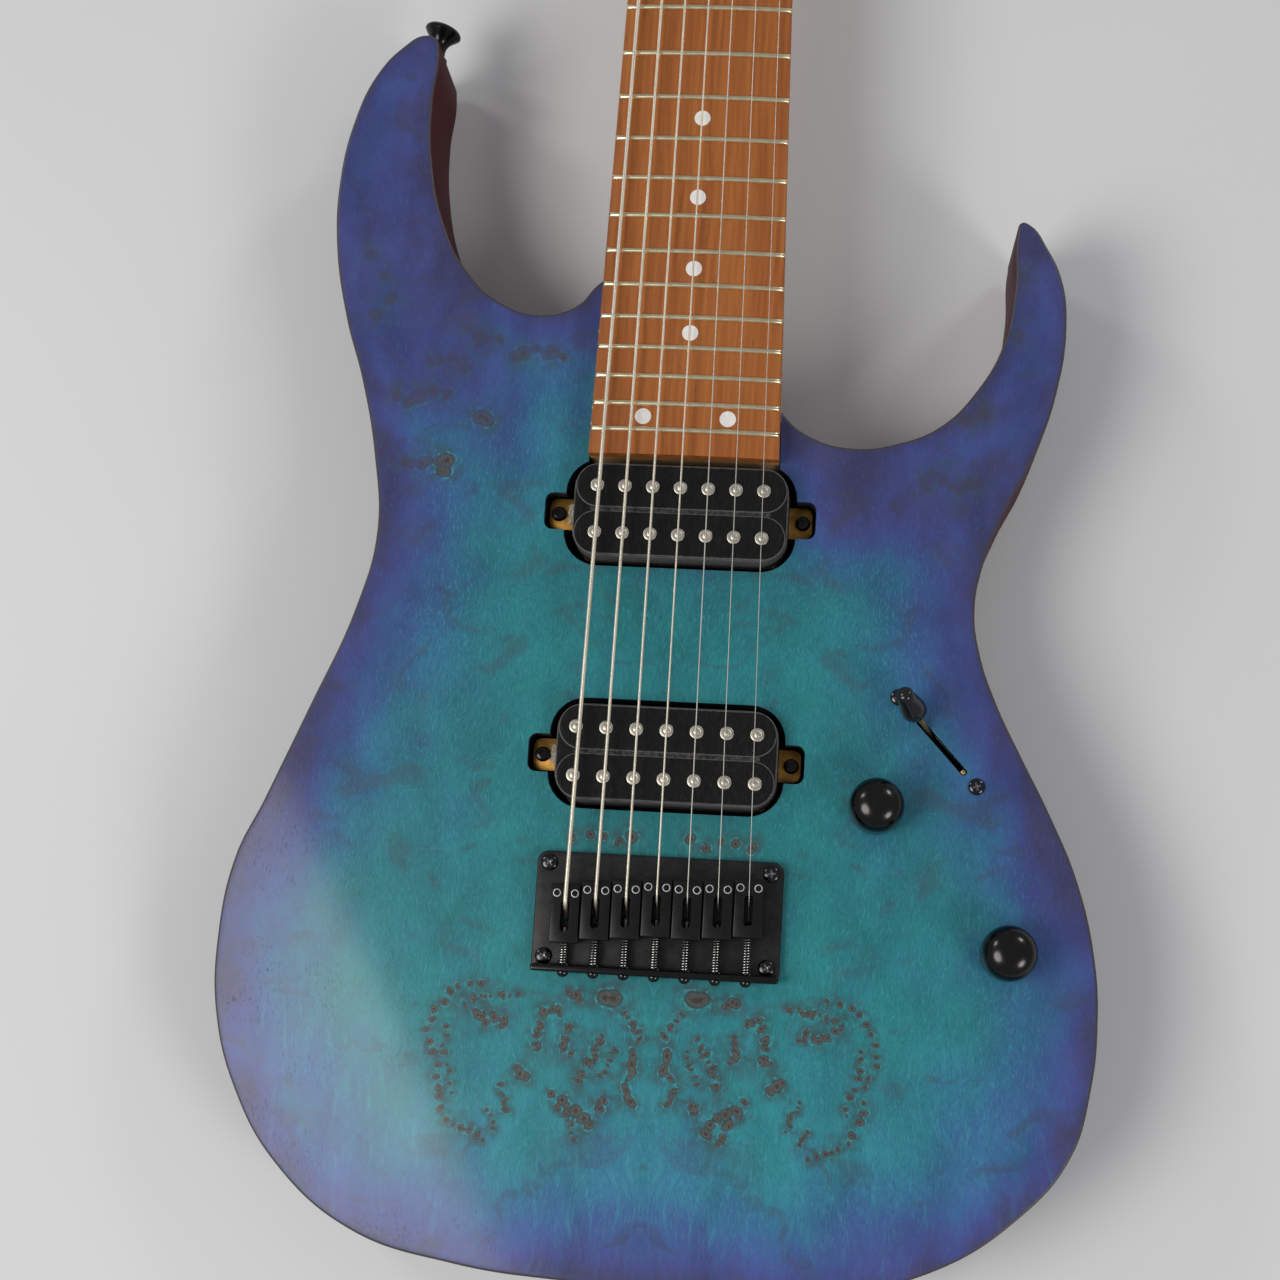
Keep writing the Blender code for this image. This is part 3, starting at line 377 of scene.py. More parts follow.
def smooth_outline(points, resolution, corners=()):
    """A smooth closed curve through points, as the CAD draws it."""
    curve = bpy.data.curves.new("outline", "CURVE")
    curve.dimensions = "2D"
    curve.resolution_u = resolution
    spline = curve.splines.new("BEZIER")
    spline.bezier_points.add(len(points) - 1)
    for knot, (x, y) in zip(spline.bezier_points, points):
        knot.co = (x, y, 0)
        kind = "VECTOR" if (x, y) in corners else "AUTO"
        knot.handle_left_type = kind
        knot.handle_right_type = kind
    spline.use_cyclic_u = True
    guide = bpy.data.objects.new("outline", curve)
    bpy.context.scene.collection.objects.link(guide)
    bpy.context.view_layer.update()
    graph = bpy.context.evaluated_depsgraph_get()
    mesh = bpy.data.meshes.new_from_object(guide.evaluated_get(graph))
    spots = [(vertex.co.x, vertex.co.y) for vertex in mesh.vertices]
    bpy.data.objects.remove(guide, do_unlink=True)
    bpy.data.meshes.remove(mesh)
    return spots


def outset(points, distance):
    """Points moved outwards from an outline that runs clockwise."""
    spots = []
    for number, point in enumerate(points):
        along = Vector(points[(number + 1) % len(points)]) - Vector(points[number - 1])
        along.normalize()
        spots.append((point[0] - along.y * distance, point[1] + along.x * distance))
    return spots


def span(node):
    """A CAD node's lowest and highest corners, in millimetres."""
    low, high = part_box(node)
    return low / MM, high / MM


def middle(node):
    """The middle of a CAD node's box, in millimetres."""
    low, high = span(node)
    return (low + high) / 2


# ---------------------------------------------------------------- pieces


def smooth(mesh):
    """Shade a mesh smooth up to its sharp edges."""
    mesh.shade_smooth()
    mesh.set_sharp_from_angle(angle=SHARP_ANGLE)


def new_object(name, shape, looks):
    """An object from a shape in millimetres, shaded smooth up to its sharp edges."""
    mesh = bpy.data.meshes.new(name)
    moved(shape, Matrix.Scale(MM, 4)).to_mesh(mesh)
    shape.free()
    made = bpy.data.objects.new(name, mesh)
    bpy.context.scene.collection.objects.link(made)
    for look in looks:
        mesh.materials.append(look)
    smooth(mesh)
    return made


def piece(name, shape, look, body="guitar", place=None, replaces=()):
    """One visible piece, which rides on a body and takes the given look."""
    if place is not None:
        moved(shape, place)
    made = new_object(name, shape, [look])
    settle(made, body, replaces)
    return made


def settle(made, body="guitar", replaces=()):
    """Tie a finished object to its body, and hide the CAD nodes that it stands for."""
    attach(made, body)
    if replaces:
        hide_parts(*replaces)


def carve(made, cutters):
    """Cut shapes out of an object for good; each cutter is a shape and the look of the walls it leaves."""
    tools = []
    for number, (shape, look) in enumerate(cutters):
        bmesh.ops.recalc_face_normals(shape, faces=shape.faces)
        tool = new_object(f"cutter_{number}", shape, [look])
        step = made.modifiers.new(tool.name, "BOOLEAN")
        step.operation = "DIFFERENCE"
        step.object = tool
        step.material_mode = "TRANSFER"
        tools.append(tool)
    graph = bpy.context.evaluated_depsgraph_get()
    mesh = bpy.data.meshes.new_from_object(made.evaluated_get(graph))
    made.modifiers.clear()
    spare = made.data
    made.data = mesh
    bpy.data.meshes.remove(spare)
    for tool in tools:
        bpy.data.meshes.remove(tool.data)
    smooth(mesh)
    return made


def refined(node, name, look, bevel, segments=2):
    """A copy of a CAD node with its flat faces joined up and its edges rounded, in the node's place."""
    shape = bmesh.new()
    shape.from_mesh(frame["nodes"][node].data)
    moved(shape, Matrix.Scale(1 / MM, 4))
    bmesh.ops.remove_doubles(shape, verts=shape.verts, dist=0.004)
    bmesh.ops.dissolve_limit(shape, angle_limit=math.radians(1), verts=shape.verts, edges=shape.edges)
    sharp = [edge for edge in shape.edges if len(edge.link_faces) == 2 and edge.calc_face_angle() > 0.6]
    bmesh.ops.bevel(
        shape, geom=sharp, offset=bevel, segments=segments, profile=0.5, affect="EDGES", clamp_overlap=True
    )
    return piece(name, shape, look, replaces=(node,))


# ---------------------------------------------------------------- materials


class Look:
    """A Principled material whose textures are laid out in the object's own millimetres."""

    def __init__(self, name, matched=False, **values):
        self.matched = matched
        self.material = bpy.data.materials.new(name)
        self.material.use_nodes = True
        self.tree = self.material.node_tree
        self.shader = self.tree.nodes["Principled BSDF"]
        for socket, value in values.items():
            self.shader.inputs[socket.replace("_", " ")].default_value = value

    def node(self, kind, inputs, output=0, **settings):
        """Add a node; an input is a number, a colour or another node's output."""
        made = self.tree.nodes.new("ShaderNode" + kind)
        for key, value in settings.items():
            setattr(made, key, value)
        for key, value in inputs.items():
            self.feed(made.inputs[key], value)
        return made.outputs[output]

    def feed(self, socket, value):
        """Link an output to a socket, or set the socket's own value."""
        if isinstance(value, bpy.types.NodeSocket):
            self.tree.links.new(value, socket)
        else:
            socket.default_value = value

    def set(self, socket, value):
        """Feed a socket of the shader."""
        self.feed(self.shader.inputs[socket], value)

    def space(self, scale=(1, 1, 1), turn=(0, 0, 0), shift=None):
        """Object coordinates in millimetres, stretched, turned and pushed about by a noise."""
        where = self.node("TexCoord", {}, "Object")
        where = self.node("VectorMath", {0: where, "Scale": 1 / MM}, operation="SCALE")
        if self.matched:
            parts = self.node("SeparateXYZ", {0: where}).node.outputs
            across = self.maths("ABSOLUTE", parts["X"])
            where = self.node("CombineXYZ", {"X": across, "Y": parts["Y"], "Z": parts["Z"]})
        if shift is not None:
            where = self.node("VectorMath", {0: where, 1: shift}, operation="ADD")
        return self.node("Mapping", {"Vector": where, "Scale": scale, "Rotation": turn})

    def noise(self, size, where=None, detail=2.0, roughness=0.5, distortion=0.0, output="Fac"):
        """Cloudy noise with features of about a size."""
        where = where or self.space()
        inputs = {"Vector": where, "Scale": 1 / size, "Detail": detail, "Roughness": roughness}
        return self.node("TexNoise", {**inputs, "Distortion": distortion}, output)

    def sway(self, size, reach):
        """A slow random push in every direction, up to about a reach."""
        colour = self.noise(size, output="Color")
        pushed = self.node("VectorMath", {0: colour, 1: (0.5, 0.5, 0.5)}, operation="SUBTRACT")
        return self.node("VectorMath", {0: pushed, "Scale": 2 * reach}, operation="SCALE")

    def maths(self, operation, first, second=0.0, third=0.0):
        """One sum."""
        return self.node("Math", {0: first, 1: second, 2: third}, operation=operation)

    def times(self, first, second):
        """The product of two values."""
        return self.maths("MULTIPLY", first, second)

    def scaled(self, value, gain, shift):
        """A value times a gain, plus a shift."""
        return self.maths("MULTIPLY_ADD", value, gain, shift)

    def between(self, value, low, high):
        """0 below low, 1 above high, and smooth between."""
        inputs = {"Value": value, "From Min": low, "From Max": high}
        return self.node("MapRange", inputs, interpolation_type="SMOOTHSTEP")

    def ramp(self, value, *stops):
        """Colours along a value."""
        colour = self.node("ValToRGB", {"Fac": value})
        bands = colour.node.color_ramp
        while len(bands.elements) < len(stops):
            bands.elements.new(1.0)
        for element, (position, shade) in zip(bands.elements, stops):
            element.position = position
            element.color = (*shade, 1.0)
        return colour

    def mix(self, share, first, second, blend="MIX"):
        """A mix of two colours."""
        first, second = [(*c, 1.0) if isinstance(c, tuple) else c for c in (first, second)]
        return self.node("Mix", {0: share, 6: first, 7: second}, 2, data_type="RGBA", blend_type=blend)

    def attribute(self, name):
        """A number stored at the mesh's corners."""
        return self.node("Attribute", {}, "Fac", attribute_name=name)

    def bump(self, height, depth):
        """Relief of a depth in millimetres."""
        self.set("Normal", self.node("Bump", {"Height": height, "Strength": 1.0, "Distance": depth * MM}))


def burl_look():
    """Dyed burl: teal in the middle, blue and indigo towards the edges, bookmatched about the seam."""
    look = Look("dyed_burl", matched=True, Specular_IOR_Level=0.42)
    tint = look.attribute("tint")
    eye = look.attribute("eye")
    edge = look.attribute("edge")
    calm = look.between(tint, 0.35, 0.85)
    drift = look.scaled(look.noise(38, detail=3.0, distortion=0.5), 0.7, -0.36)
    fine_drift = look.scaled(look.noise(8, look.space((1, 0.45, 1)), detail=3.0), 0.34, -0.17)
    tone = look.maths("ADD", look.maths("ADD", tint, drift), fine_drift)
    colour = look.ramp(
        tone, (0.0, (0.016, 0.190, 0.200)), (0.2, (0.021, 0.178, 0.218)), (0.42, (0.028, 0.128, 0.240)),
        (0.62, (0.040, 0.086, 0.245)), (0.82, (0.048, 0.060, 0.215)), (1.0, (0.048, 0.044, 0.130)),
    )
    figure = look.noise(15, look.space((1, 0.5, 1), shift=look.sway(50, 12)), detail=3.0)
    # Painted light: the colour is brightened towards the bottom of the body, where the top is lit more
    # strongly.
    painted_lower_light = look.between(look.node("SeparateXYZ", {0: look.space()}, "Y"), 30, -110)
    shade = look.maths("ADD", look.scaled(figure, 0.9, 0.54), look.times(painted_lower_light, 0.22))
    colour = look.node("VectorMath", {0: colour, "Scale": shade}, operation="SCALE")
    curl = look.node("VectorMath", {0: look.sway(64, 11), 1: look.sway(11, 2.0)}, operation="ADD")
    flow = look.space((1.0, 0.11, 1.0), shift=curl)
    fibre = look.noise(0.42, flow, detail=5.0, roughness=0.68)
    bright = look.between(fibre, 0.50, 0.78)
    dark = look.between(fibre, 0.50, 0.24)
    lively = look.scaled(calm, -0.45, 0.60)
    colour = look.mix(look.times(bright, lively), colour, (0.070, 0.400, 0.470))
    colour = look.mix(look.times(dark, lively), colour, (0.010, 0.078, 0.105))
    streak = look.noise(2.2, look.space((1.0, 0.10, 1.0), shift=look.sway(46, 12)), detail=4.0,
        roughness=0.6)
    # The pale streaks show only towards the bottom, weighted by the same gradient as the painted light.
    streak = look.times(look.between(streak, 0.50, 0.80), look.times(painted_lower_light, lively))
    colour = look.mix(streak, colour, (0.050, 0.330, 0.400))
    pores = look.space((1.0, 0.16, 1.0), shift=look.sway(30, 5))
    speck = look.between(look.noise(0.36, pores, detail=2.0), 0.64, 0.72)
    patch = look.between(look.noise(30, detail=2.0), 0.42, 0.62)
    speck = look.times(speck, patch)
    colour = look.mix(look.times(speck, 0.6), colour, (0.012, 0.040, 0.052))
    cloud = look.between(look.noise(19, look.space((1, 1.5, 1)), detail=3.0, distortion=0.9), 0.53, 0.70)
    cloud = look.times(cloud, look.scaled(calm, 0.05, 0.36))
    colour = look.mix(cloud, colour, (0.052, 0.054, 0.078))
    colour = burl_eyes(look, colour, eye, calm)
    rim = look.between(edge, 1.3, 0.5)
    colour = look.mix(rim, colour, (0.058, 0.047, 0.055))
    look.set("Base Color", colour)
    look.set("Roughness", look.scaled(fibre, 0.16, 0.25))
    look.bump(look.maths("SUBTRACT", fibre, speck), 0.035)
    return look.material


def burl_eyes(look, colour, eye, calm):
    """Lay the eyes of the burl over a colour: dark pits in a brown disc, a pale ring and a shaded halo."""
    ragged = look.scaled(look.noise(1.0, detail=3.0, roughness=0.6), 0.5, -0.25)
    distance = look.maths("ADD", eye, ragged)
    lively = look.maths("SUBTRACT", 1.0, calm)
    halo = look.times(look.between(eye, 3.9, 1.2), look.between(look.noise(4.0, detail=4.0), 0.34, 0.62))
    halo = look.times(halo, look.scaled(lively, 0.45, 0.35))
    colour = look.mix(halo, colour, (0.040, 0.082, 0.088))
    ring = look.between(look.maths("ABSOLUTE", look.maths("SUBTRACT", distance, 1.34)), 0.26, 0.02)
    ring = look.times(look.times(ring, lively), look.between(look.noise(1.7), 0.46, 0.62))
    colour = look.mix(look.times(ring, 0.7), colour, (0.070, 0.330, 0.360))
    disc = look.times(look.between(distance, 1.25, 0.75), look.scaled(lively, 0.42, 0.46))
    mottle = look.noise(0.8, detail=4.0, roughness=0.65)
    brown = look.ramp(mottle, (0.32, (0.046, 0.037, 0.030)), (0.5, (0.092, 0.075, 0.062)),
        (0.7, (0.130, 0.112, 0.094)))
    brown = look.mix(calm, brown, (0.054, 0.047, 0.060))
    colour = look.mix(disc, colour, brown)
    outline = look.between(look.maths("ABSOLUTE", look.maths("SUBTRACT", distance, 1.02)), 0.16, 0.02)
    colour = look.mix(look.times(outline, look.times(lively, 0.7)), colour, (0.022, 0.036, 0.036))
    heart = look.between(distance, 0.52, 0.28)
    return look.mix(look.times(heart, look.times(lively, 0.7)), colour, (0.026, 0.021, 0.020))


def stained_side_look():
    """The dark wine stain on the body's sides and back, with the grain just showing."""
    look = Look("dark_stained_wood", Specular_IOR_Level=0.06)
    grain = look.noise(0.8, look.space((1.0, 0.05, 0.35), shift=look.sway(60, 5)), detail=5.0,
        roughness=0.6)
    broad = look.noise(26, detail=2.0)
    colour = look.ramp(grain, (0.3, (0.034, 0.004, 0.006)), (0.55, (0.070, 0.007, 0.010)),
        (0.8, (0.115, 0.014, 0.018)))
    look.set("Base Color", look.mix(look.times(broad, 0.5), colour, (0.028, 0.004, 0.006)))
    look.set("Roughness", look.scaled(grain, 0.2, 0.38))
    look.bump(grain, 0.04)
    return look.material


def shielding_look():
    """The black paint inside the pockets."""
    look = Look("shielding_paint", Roughness=0.8)
    mottle = look.noise(2.2, detail=4.0)
    look.set("Base Color", look.ramp(mottle, (0.3, (0.002, 0.002, 0.003)), (0.8, (0.010, 0.010, 0.012))))
    look.bump(mottle, 0.15)
    return look.material


def slot_wall_look():
    """Blue dyed wood just inside the edge of a pocket, going near-black towards the bottom of its wall."""
    look = Look("dyed_pocket_edge", Roughness=0.55)
    height = look.node("SeparateXYZ", {0: look.space()}, "Z")
    depth = look.between(look.maths("ADD", height, look.times(look.noise(3.0), 1.6)), 39.0, 43.0)
    fibre = look.noise(0.7, look.space((1, 1, 0.2)), detail=4.0)
    blue = look.ramp(fibre, (0.3, (0.008, 0.010, 0.030)), (0.7, (0.020, 0.030, 0.085)))
    look.set("Base Color", look.mix(depth, (0.003, 0.003, 0.004), blue))
    look.bump(fibre, 0.05)
    return look.material


def maple_look():
    """Pale neck maple, with long soft grain and fine pores."""
    look = Look("neck_maple", Roughness=0.42, Specular_IOR_Level=0.45)
    grain = look.noise(1.6, look.space((1.0, 0.025, 1.0), shift=look.sway(90, 6)), detail=6.0,
        roughness=0.6)
    flame = look.noise(7.0, look.space((0.25, 1.0, 0.25)), detail=1.5)
    pores = look.between(look.noise(0.35, look.space((1.0, 0.06, 1.0)), detail=3.0), 0.62, 0.74)
    colour = look.ramp(grain, (0.25, (0.43, 0.245, 0.105)), (0.5, (0.56, 0.345, 0.165)),
        (0.8, (0.66, 0.44, 0.23)))
    colour = look.mix(look.times(look.between(flame, 0.35, 0.7), 0.22), colour, (0.70, 0.47, 0.25))
    colour = look.mix(look.times(pores, 0.35), colour, (0.26, 0.13, 0.05))
    look.set("Base Color", colour)
    look.set("Roughness", look.scaled(grain, 0.14, 0.36))
    look.bump(look.maths("SUBTRACT", grain, pores), 0.03)
    return look.material


def board_look():
    """Reddish-orange fretboard wood, with darker streaks along it and open pores."""
    look = Look("fretboard_wood", Roughness=0.5, Specular_IOR_Level=0.35)
    streak = look.noise(1.7, look.space((1.0, 0.018, 1.0), shift=look.sway(120, 4)), detail=5.0,
        roughness=0.62)
    fine = look.noise(0.55, look.space((1.0, 0.05, 1.0)), detail=4.0, roughness=0.6)
    broad = look.noise(30, look.space((1.0, 0.35, 1.0)), detail=2.0)
    pores = look.between(fine, 0.60, 0.74)
    value = look.maths("ADD", look.times(streak, 0.75), look.times(broad, 0.25))
    colour = look.ramp(value, (0.28, (0.228, 0.062, 0.012)), (0.46, (0.348, 0.105, 0.021)),
        (0.7, (0.462, 0.160, 0.036)))
    colour = look.mix(look.times(pores, 0.55), colour, (0.105, 0.028, 0.014))
    look.set("Base Color", colour)
    look.set("Roughness", look.scaled(fine, 0.25, 0.36))
    look.bump(look.maths("SUBTRACT", streak, pores), 0.05)
    return look.material


def metal_look(name, colour, roughness, size=0.5, metallic=1.0, wear=0.12, depth=0.003, stretch=(1, 1, 1)):
    """A metal with faint mottling and hairlines in its gloss."""
    look = Look(name, Metallic=metallic)
    mottle = look.noise(size * 8, detail=4.0)
    lines = look.noise(size, look.space(stretch), detail=3.0)
    dim = tuple(channel * (1 - wear) for channel in colour)
    bright = tuple(min(1.0, channel * (1 + wear) + 0.002) for channel in colour)
    value = look.maths("ADD", look.times(mottle, 0.6), look.times(lines, 0.4))
    look.set("Base Color", look.ramp(value, (0.35, dim), (0.65, bright)))
    look.set("Roughness", look.scaled(lines, 0.16, roughness - 0.08))
    look.bump(lines, depth)
    return look.material


def bobbin_look():
    """Black pickup plastic with fine brushed grain, dust and pale wear along its rims."""
    look = Look("pickup_plastic", Specular_IOR_Level=0.2)
    brush = look.noise(0.28, look.space((1.0, 0.10, 1.0)), detail=4.0, roughness=0.7)
    dust = look.between(look.noise(5.0, detail=6.0, roughness=0.75), 0.56, 0.80)
    colour = look.ramp(brush, (0.35, (0.004, 0.004, 0.004)), (0.60, (0.010, 0.010, 0.0095)),
        (0.8, (0.034, 0.033, 0.031)))
    colour = look.mix(look.times(dust, 0.22), colour, (0.070, 0.068, 0.063))
    edge = look.attribute("edge")
    worn = look.between(look.maths("ADD", edge, look.times(look.noise(1.4, detail=4.0), 0.5)), 0.80, 0.45)
    colour = look.mix(look.times(worn, 0.8), colour, (0.130, 0.126, 0.118))
    look.set("Base Color", colour)
    look.set("Roughness", look.scaled(brush, 0.25, 0.22))
    look.bump(brush, 0.03)
    return look.material


def plastic_look(name, colour, roughness, depth=0.015):
    """A moulded plastic with a faint skin texture."""
    look = Look(name, Specular_IOR_Level=0.5)
    skin_noise = look.noise(0.4, detail=3.0)
    broad = look.noise(12, detail=3.0)
    pale = tuple(min(1.0, channel * 1.5 + 0.004) for channel in colour)
    look.set("Base Color", look.mix(look.between(broad, 0.4, 0.75), colour, pale))
    look.set("Roughness", look.scaled(skin_noise, 0.14, roughness - 0.07))
    look.bump(skin_noise, depth)
    return look.material


def string_look(name, colour, wound):
    """String metal: bright plain steel, or nickel with the ridges of its winding."""
    look = Look(name, Metallic=0.72, Roughness=0.36)
    along = look.node("SeparateXYZ", {0: look.space()}, "Y")
    tarnish = look.noise(6.0, look.space((1, 0.3, 1)), detail=4.0)
    dim = tuple(channel * 0.8 for channel in colour)
    shade = look.ramp(tarnish, (0.3, dim), (0.7, colour))
    if wound:
        ridge = look.maths("SINE", look.times(along, 2 * math.pi / 0.42))
        ridge = look.scaled(ridge, 0.5, 0.5)
        # Painted shade: the colour darkens in stripes along the winding's ridges.
        shade = look.mix(look.times(ridge, 0.22), shade, tuple(channel * 0.45 for channel in colour))
        look.bump(ridge, 0.02)
    look.set("Base Color", shade)
    return look.material


def pearl_look():
    """Off-white inlay, faintly clouded."""
    look = Look("inlay_white", Roughness=0.3)
    cloud = look.noise(1.6, detail=3.0, distortion=1.0)
    look.set("Base Color", look.ramp(cloud, (0.3, (0.78, 0.76, 0.71)), (0.7, (0.92, 0.90, 0.86))))
    return look.material


def film_look():
    """Crinkled clear tape."""
    look = Look("clear_film", Roughness=0.18, IOR=1.45, Transmission_Weight=0.72)
    crease = look.noise(0.9, detail=4.0)
    # Painted light and shade: the colour follows the creases, lighter on some and darker in others.
    look.set("Base Color", look.ramp(crease, (0.3, (0.55, 0.52, 0.42)), (0.7, (0.95, 0.93, 0.85))))
    look.bump(crease, 0.3)
    return look.material


def floor_look():
    """A plain pale studio floor with the faintest mottle."""
    look = Look("studio_floor", Roughness=0.9, Specular_IOR_Level=0.1)
    look.set("Base Color", look.ramp(look.noise(300, detail=2.0), (0.3, (0.70, 0.70, 0.70)),
        (0.7, (0.73, 0.73, 0.73))))
    return look.material


BURL = burl_look()
STAIN = stained_side_look()
SHIELD = shielding_look()
POCKET_EDGE = slot_wall_look()
MAPLE = maple_look()
BOARD_WOOD = board_look()
BLACK_METAL = metal_look("black_chrome", (0.022, 0.021, 0.021), 0.19, metallic=0.85)
KNOB_METAL = metal_look("black_chrome_gloss", (0.040, 0.038, 0.036), 0.20, wear=0.06, depth=0.0)
SATIN_METAL = metal_look("satin_black_plate", (0.030, 0.029, 0.028), 0.36, metallic=0.7, wear=0.3,
    depth=0.008)
SADDLE_METAL = metal_look("saddle_black", (0.016, 0.016, 0.016), 0.32, metallic=0.7)
SCREW_METAL = metal_look("black_screw", (0.050, 0.049, 0.050), 0.17)
# Painted highlight: the walls of the screws' cross recesses take this lighter metal as glints. The long
# screws' hex tips are also made of this grey steel.
RECESS_GLINT_AND_TIP_METAL = metal_look("screw_recess_glint_and_tip_steel", (0.26, 0.25, 0.24), 0.30)
SPRING_METAL = metal_look("spring_steel", (0.30, 0.295, 0.28), 0.24)
RING_METAL = metal_look("screw_ring", (0.88, 0.86, 0.82), 0.38, depth=0.0)
POLE_METAL = metal_look("pole_nickel", (0.56, 0.52, 0.43), 0.42, size=1.5, wear=0.08)
FRET_METAL = metal_look("fret_nickel", (0.90, 0.78, 0.50), 0.30, stretch=(0.1, 1, 1))
GOLD = metal_look("baseplate_brass", (0.30, 0.155, 0.035), 0.44, wear=0.45, depth=0.01)
POT_METAL = metal_look("pot_steel", (0.45, 0.45, 0.46), 0.35)
BOBBIN = bobbin_look()
BLACK_PLASTIC = plastic_look("black_plastic", (0.012, 0.012, 0.013), 0.42)
GLOSS_PLASTIC = plastic_look("gloss_black_tip", (0.010, 0.010, 0.011), 0.14, depth=0.004)
NUT_PLASTIC = plastic_look("black_graphite", (0.018, 0.018, 0.018), 0.38)
PLAIN_STRING = string_look("plain_steel", (0.80, 0.75, 0.66), False)
WOUND_STRING = string_look("wound_nickel", (0.98, 0.88, 0.70), True)
INLAY = pearl_look()
FILM = film_look()


# ---------------------------------------------------------------- body


def arm_drop(x, y):
    """How far the arm rest lowers the top at a spot."""
    beyond = (x - ARM_POINT.x) * ARM_OUTWARD.x + (y - ARM_POINT.y) * ARM_OUTWARD.y
    return ARM_SLOPE * (beyond + math.sqrt(beyond ** 2 + ARM_CREST ** 2)) / 2


def top_height(x, y):
    """The height of the top."""
    return BODY_TOP - arm_drop(x, y)


def veneer_bottom(x, y):
    """The height of the joint under the veneer."""
    return top_height(x, y) - VENEER


def core_top(x, y):
    """The height of the core, a hair under the veneer."""
    return veneer_bottom(x, y) - 0.02


def back_height(x, y):
    """The height of the back, which the belly cut hollows."""
    radius = (BELLY_RADIUS ** 2 + BELLY_DEPTH ** 2) / (2 * BELLY_DEPTH)
    away = (x - BELLY_CENTRE.x) ** 2 + (y - BELLY_CENTRE.y) ** 2
    hollow = BELLY_DEPTH - radius + math.sqrt(max(radius ** 2 - away, 0.0))
    hollow = max(hollow, -30.0)
    return max(0.0, (hollow + math.sqrt(hollow ** 2 + 4.0)) / 2 - 0.03)


def distance_to_outline(spots, outline):
    """How far each spot is from a closed outline."""
    spots = np.array(spots, float)
    start = np.array(outline, float)
    step = np.roll(start, -1, axis=0) - start
    length = (step ** 2).sum(1)
    best = np.full(len(spots), 1e9)
    for first, along, size in zip(start, step, length):
        away = spots - first
        share = np.clip((away @ along) / size, 0, 1)
        best = np.minimum(best, ((away - share[:, None] * along) ** 2).sum(1))
    return np.sqrt(best)


def inside(spots, outline):
    """Whether each spot lies inside a closed outline."""
    spots = np.array(spots, float)
    start = np.array(outline, float)
    end = np.roll(start, -1, axis=0)
    found = np.zeros(len(spots), bool)
    for (x1, y1), (x2, y2) in zip(start, end):
        if y1 == y2:
            continue
        crosses = (y1 > spots[:, 1]) != (y2 > spots[:, 1])
        found ^= crosses & (spots[:, 0] < (x2 - x1) * (spots[:, 1] - y1) / (y2 - y1) + x1)
    return found


def along_path(path, share):
    """The spot at a share of the way along a path, and the way that the path runs there."""
    lengths = [math.dist(first, second) for first, second in zip(path, path[1:])]
    left = share * sum(lengths)
    for first, second, length in zip(path, path[1:], lengths):
        if left <= length:
            break
        left -= length
    reach = min(left / length, 1.0)
    spot = (first[0] + (second[0] - first[0]) * reach, first[1] + (second[1] - first[1]) * reach)
    return spot, math.atan2(second[1] - first[1], second[0] - first[0])


def burl_eye_spots():
    """Every eye of the burl on both sides of the seam: x, y, two radii, and the turn of the first."""
    chance = random.Random(7)
    eyes = []
    for side in (1, -1):
        for count, radius, long, path in EYE_ROWS:
            for number in range(count):
                (x, y), turn = along_path(path, (number + 0.5) / count)
                stray = 0.5 + 0.22 * radius
                x += chance.uniform(-stray, stray)
                y += chance.uniform(-stray, stray)
                size = radius * chance.uniform(0.65, 1.2)
                shape = math.sqrt(long) * chance.uniform(0.9, 1.15)
                turn += math.pi / 2 + chance.uniform(-0.45, 0.45)
                eyes.append((side * x, y, size * shape, size / shape, turn if side > 0 else math.pi - turn))
    return eyes


def eye_distance(x, y, eye):
    """How far a spot is from an eye, where its rim is at 1."""
    eye_x, eye_y, along, across, turn = eye
    forward = (x - eye_x) * math.cos(turn) + (y - eye_y) * math.sin(turn)
    aside = (y - eye_y) * math.cos(turn) - (x - eye_x) * math.sin(turn)
    return np.hypot(forward / along, aside / across)


def inner_points(outline, margin, eyes):
    """Points for the flat of the body: an even grid, and rings round each eye."""
    spots = []
    for row in range(-36, 86):
        for column in range(-42, 42):
            spots.append(((column + 0.5 * (row % 2)) * GRID_STEP, row * GRID_STEP * ROW_SPACING))
    grid = np.array(spots)
    for eye in eyes:
        grid = grid[eye_distance(grid[:, 0], grid[:, 1], eye) > 2.0]
    extra = []
    for number, eye in enumerate(eyes):
        x, y, along, across, turn = eye
        for share, count in ((0, 1), (0.5, 6), (1.0, 9), (1.6, 11)):
            for step in range(count):
                around = 2 * math.pi * step / count + share
                forward = along * share * math.cos(around)
                aside = across * share * math.sin(around)
                spot = (
                    x + forward * math.cos(turn) - aside * math.sin(turn),
                    y + forward * math.sin(turn) + aside * math.cos(turn),
                )
                if all(eye_distance(*spot, other) > 1.75 for other in eyes[:number]):
                    extra.append(spot)
    spots = np.vstack([grid, np.array(extra)]) if extra else grid
    keep = inside(spots, outline) & (distance_to_outline(spots, outline) > margin)
    return [tuple(spot) for spot in spots[keep]]


def rim_ring(rim, outward):
    """Points a little way inside a rim, so that the shade along it stays narrow."""
    inset = [(x - normal.x * RIM_RING_INSET, y - normal.y * RIM_RING_INSET) for (x, y),
        normal in zip(rim, outward)]
    keep = inside(inset, rim) & (distance_to_outline(inset, rim) > 1.5)
    return [spot for spot, kept in zip(inset, keep) if kept]


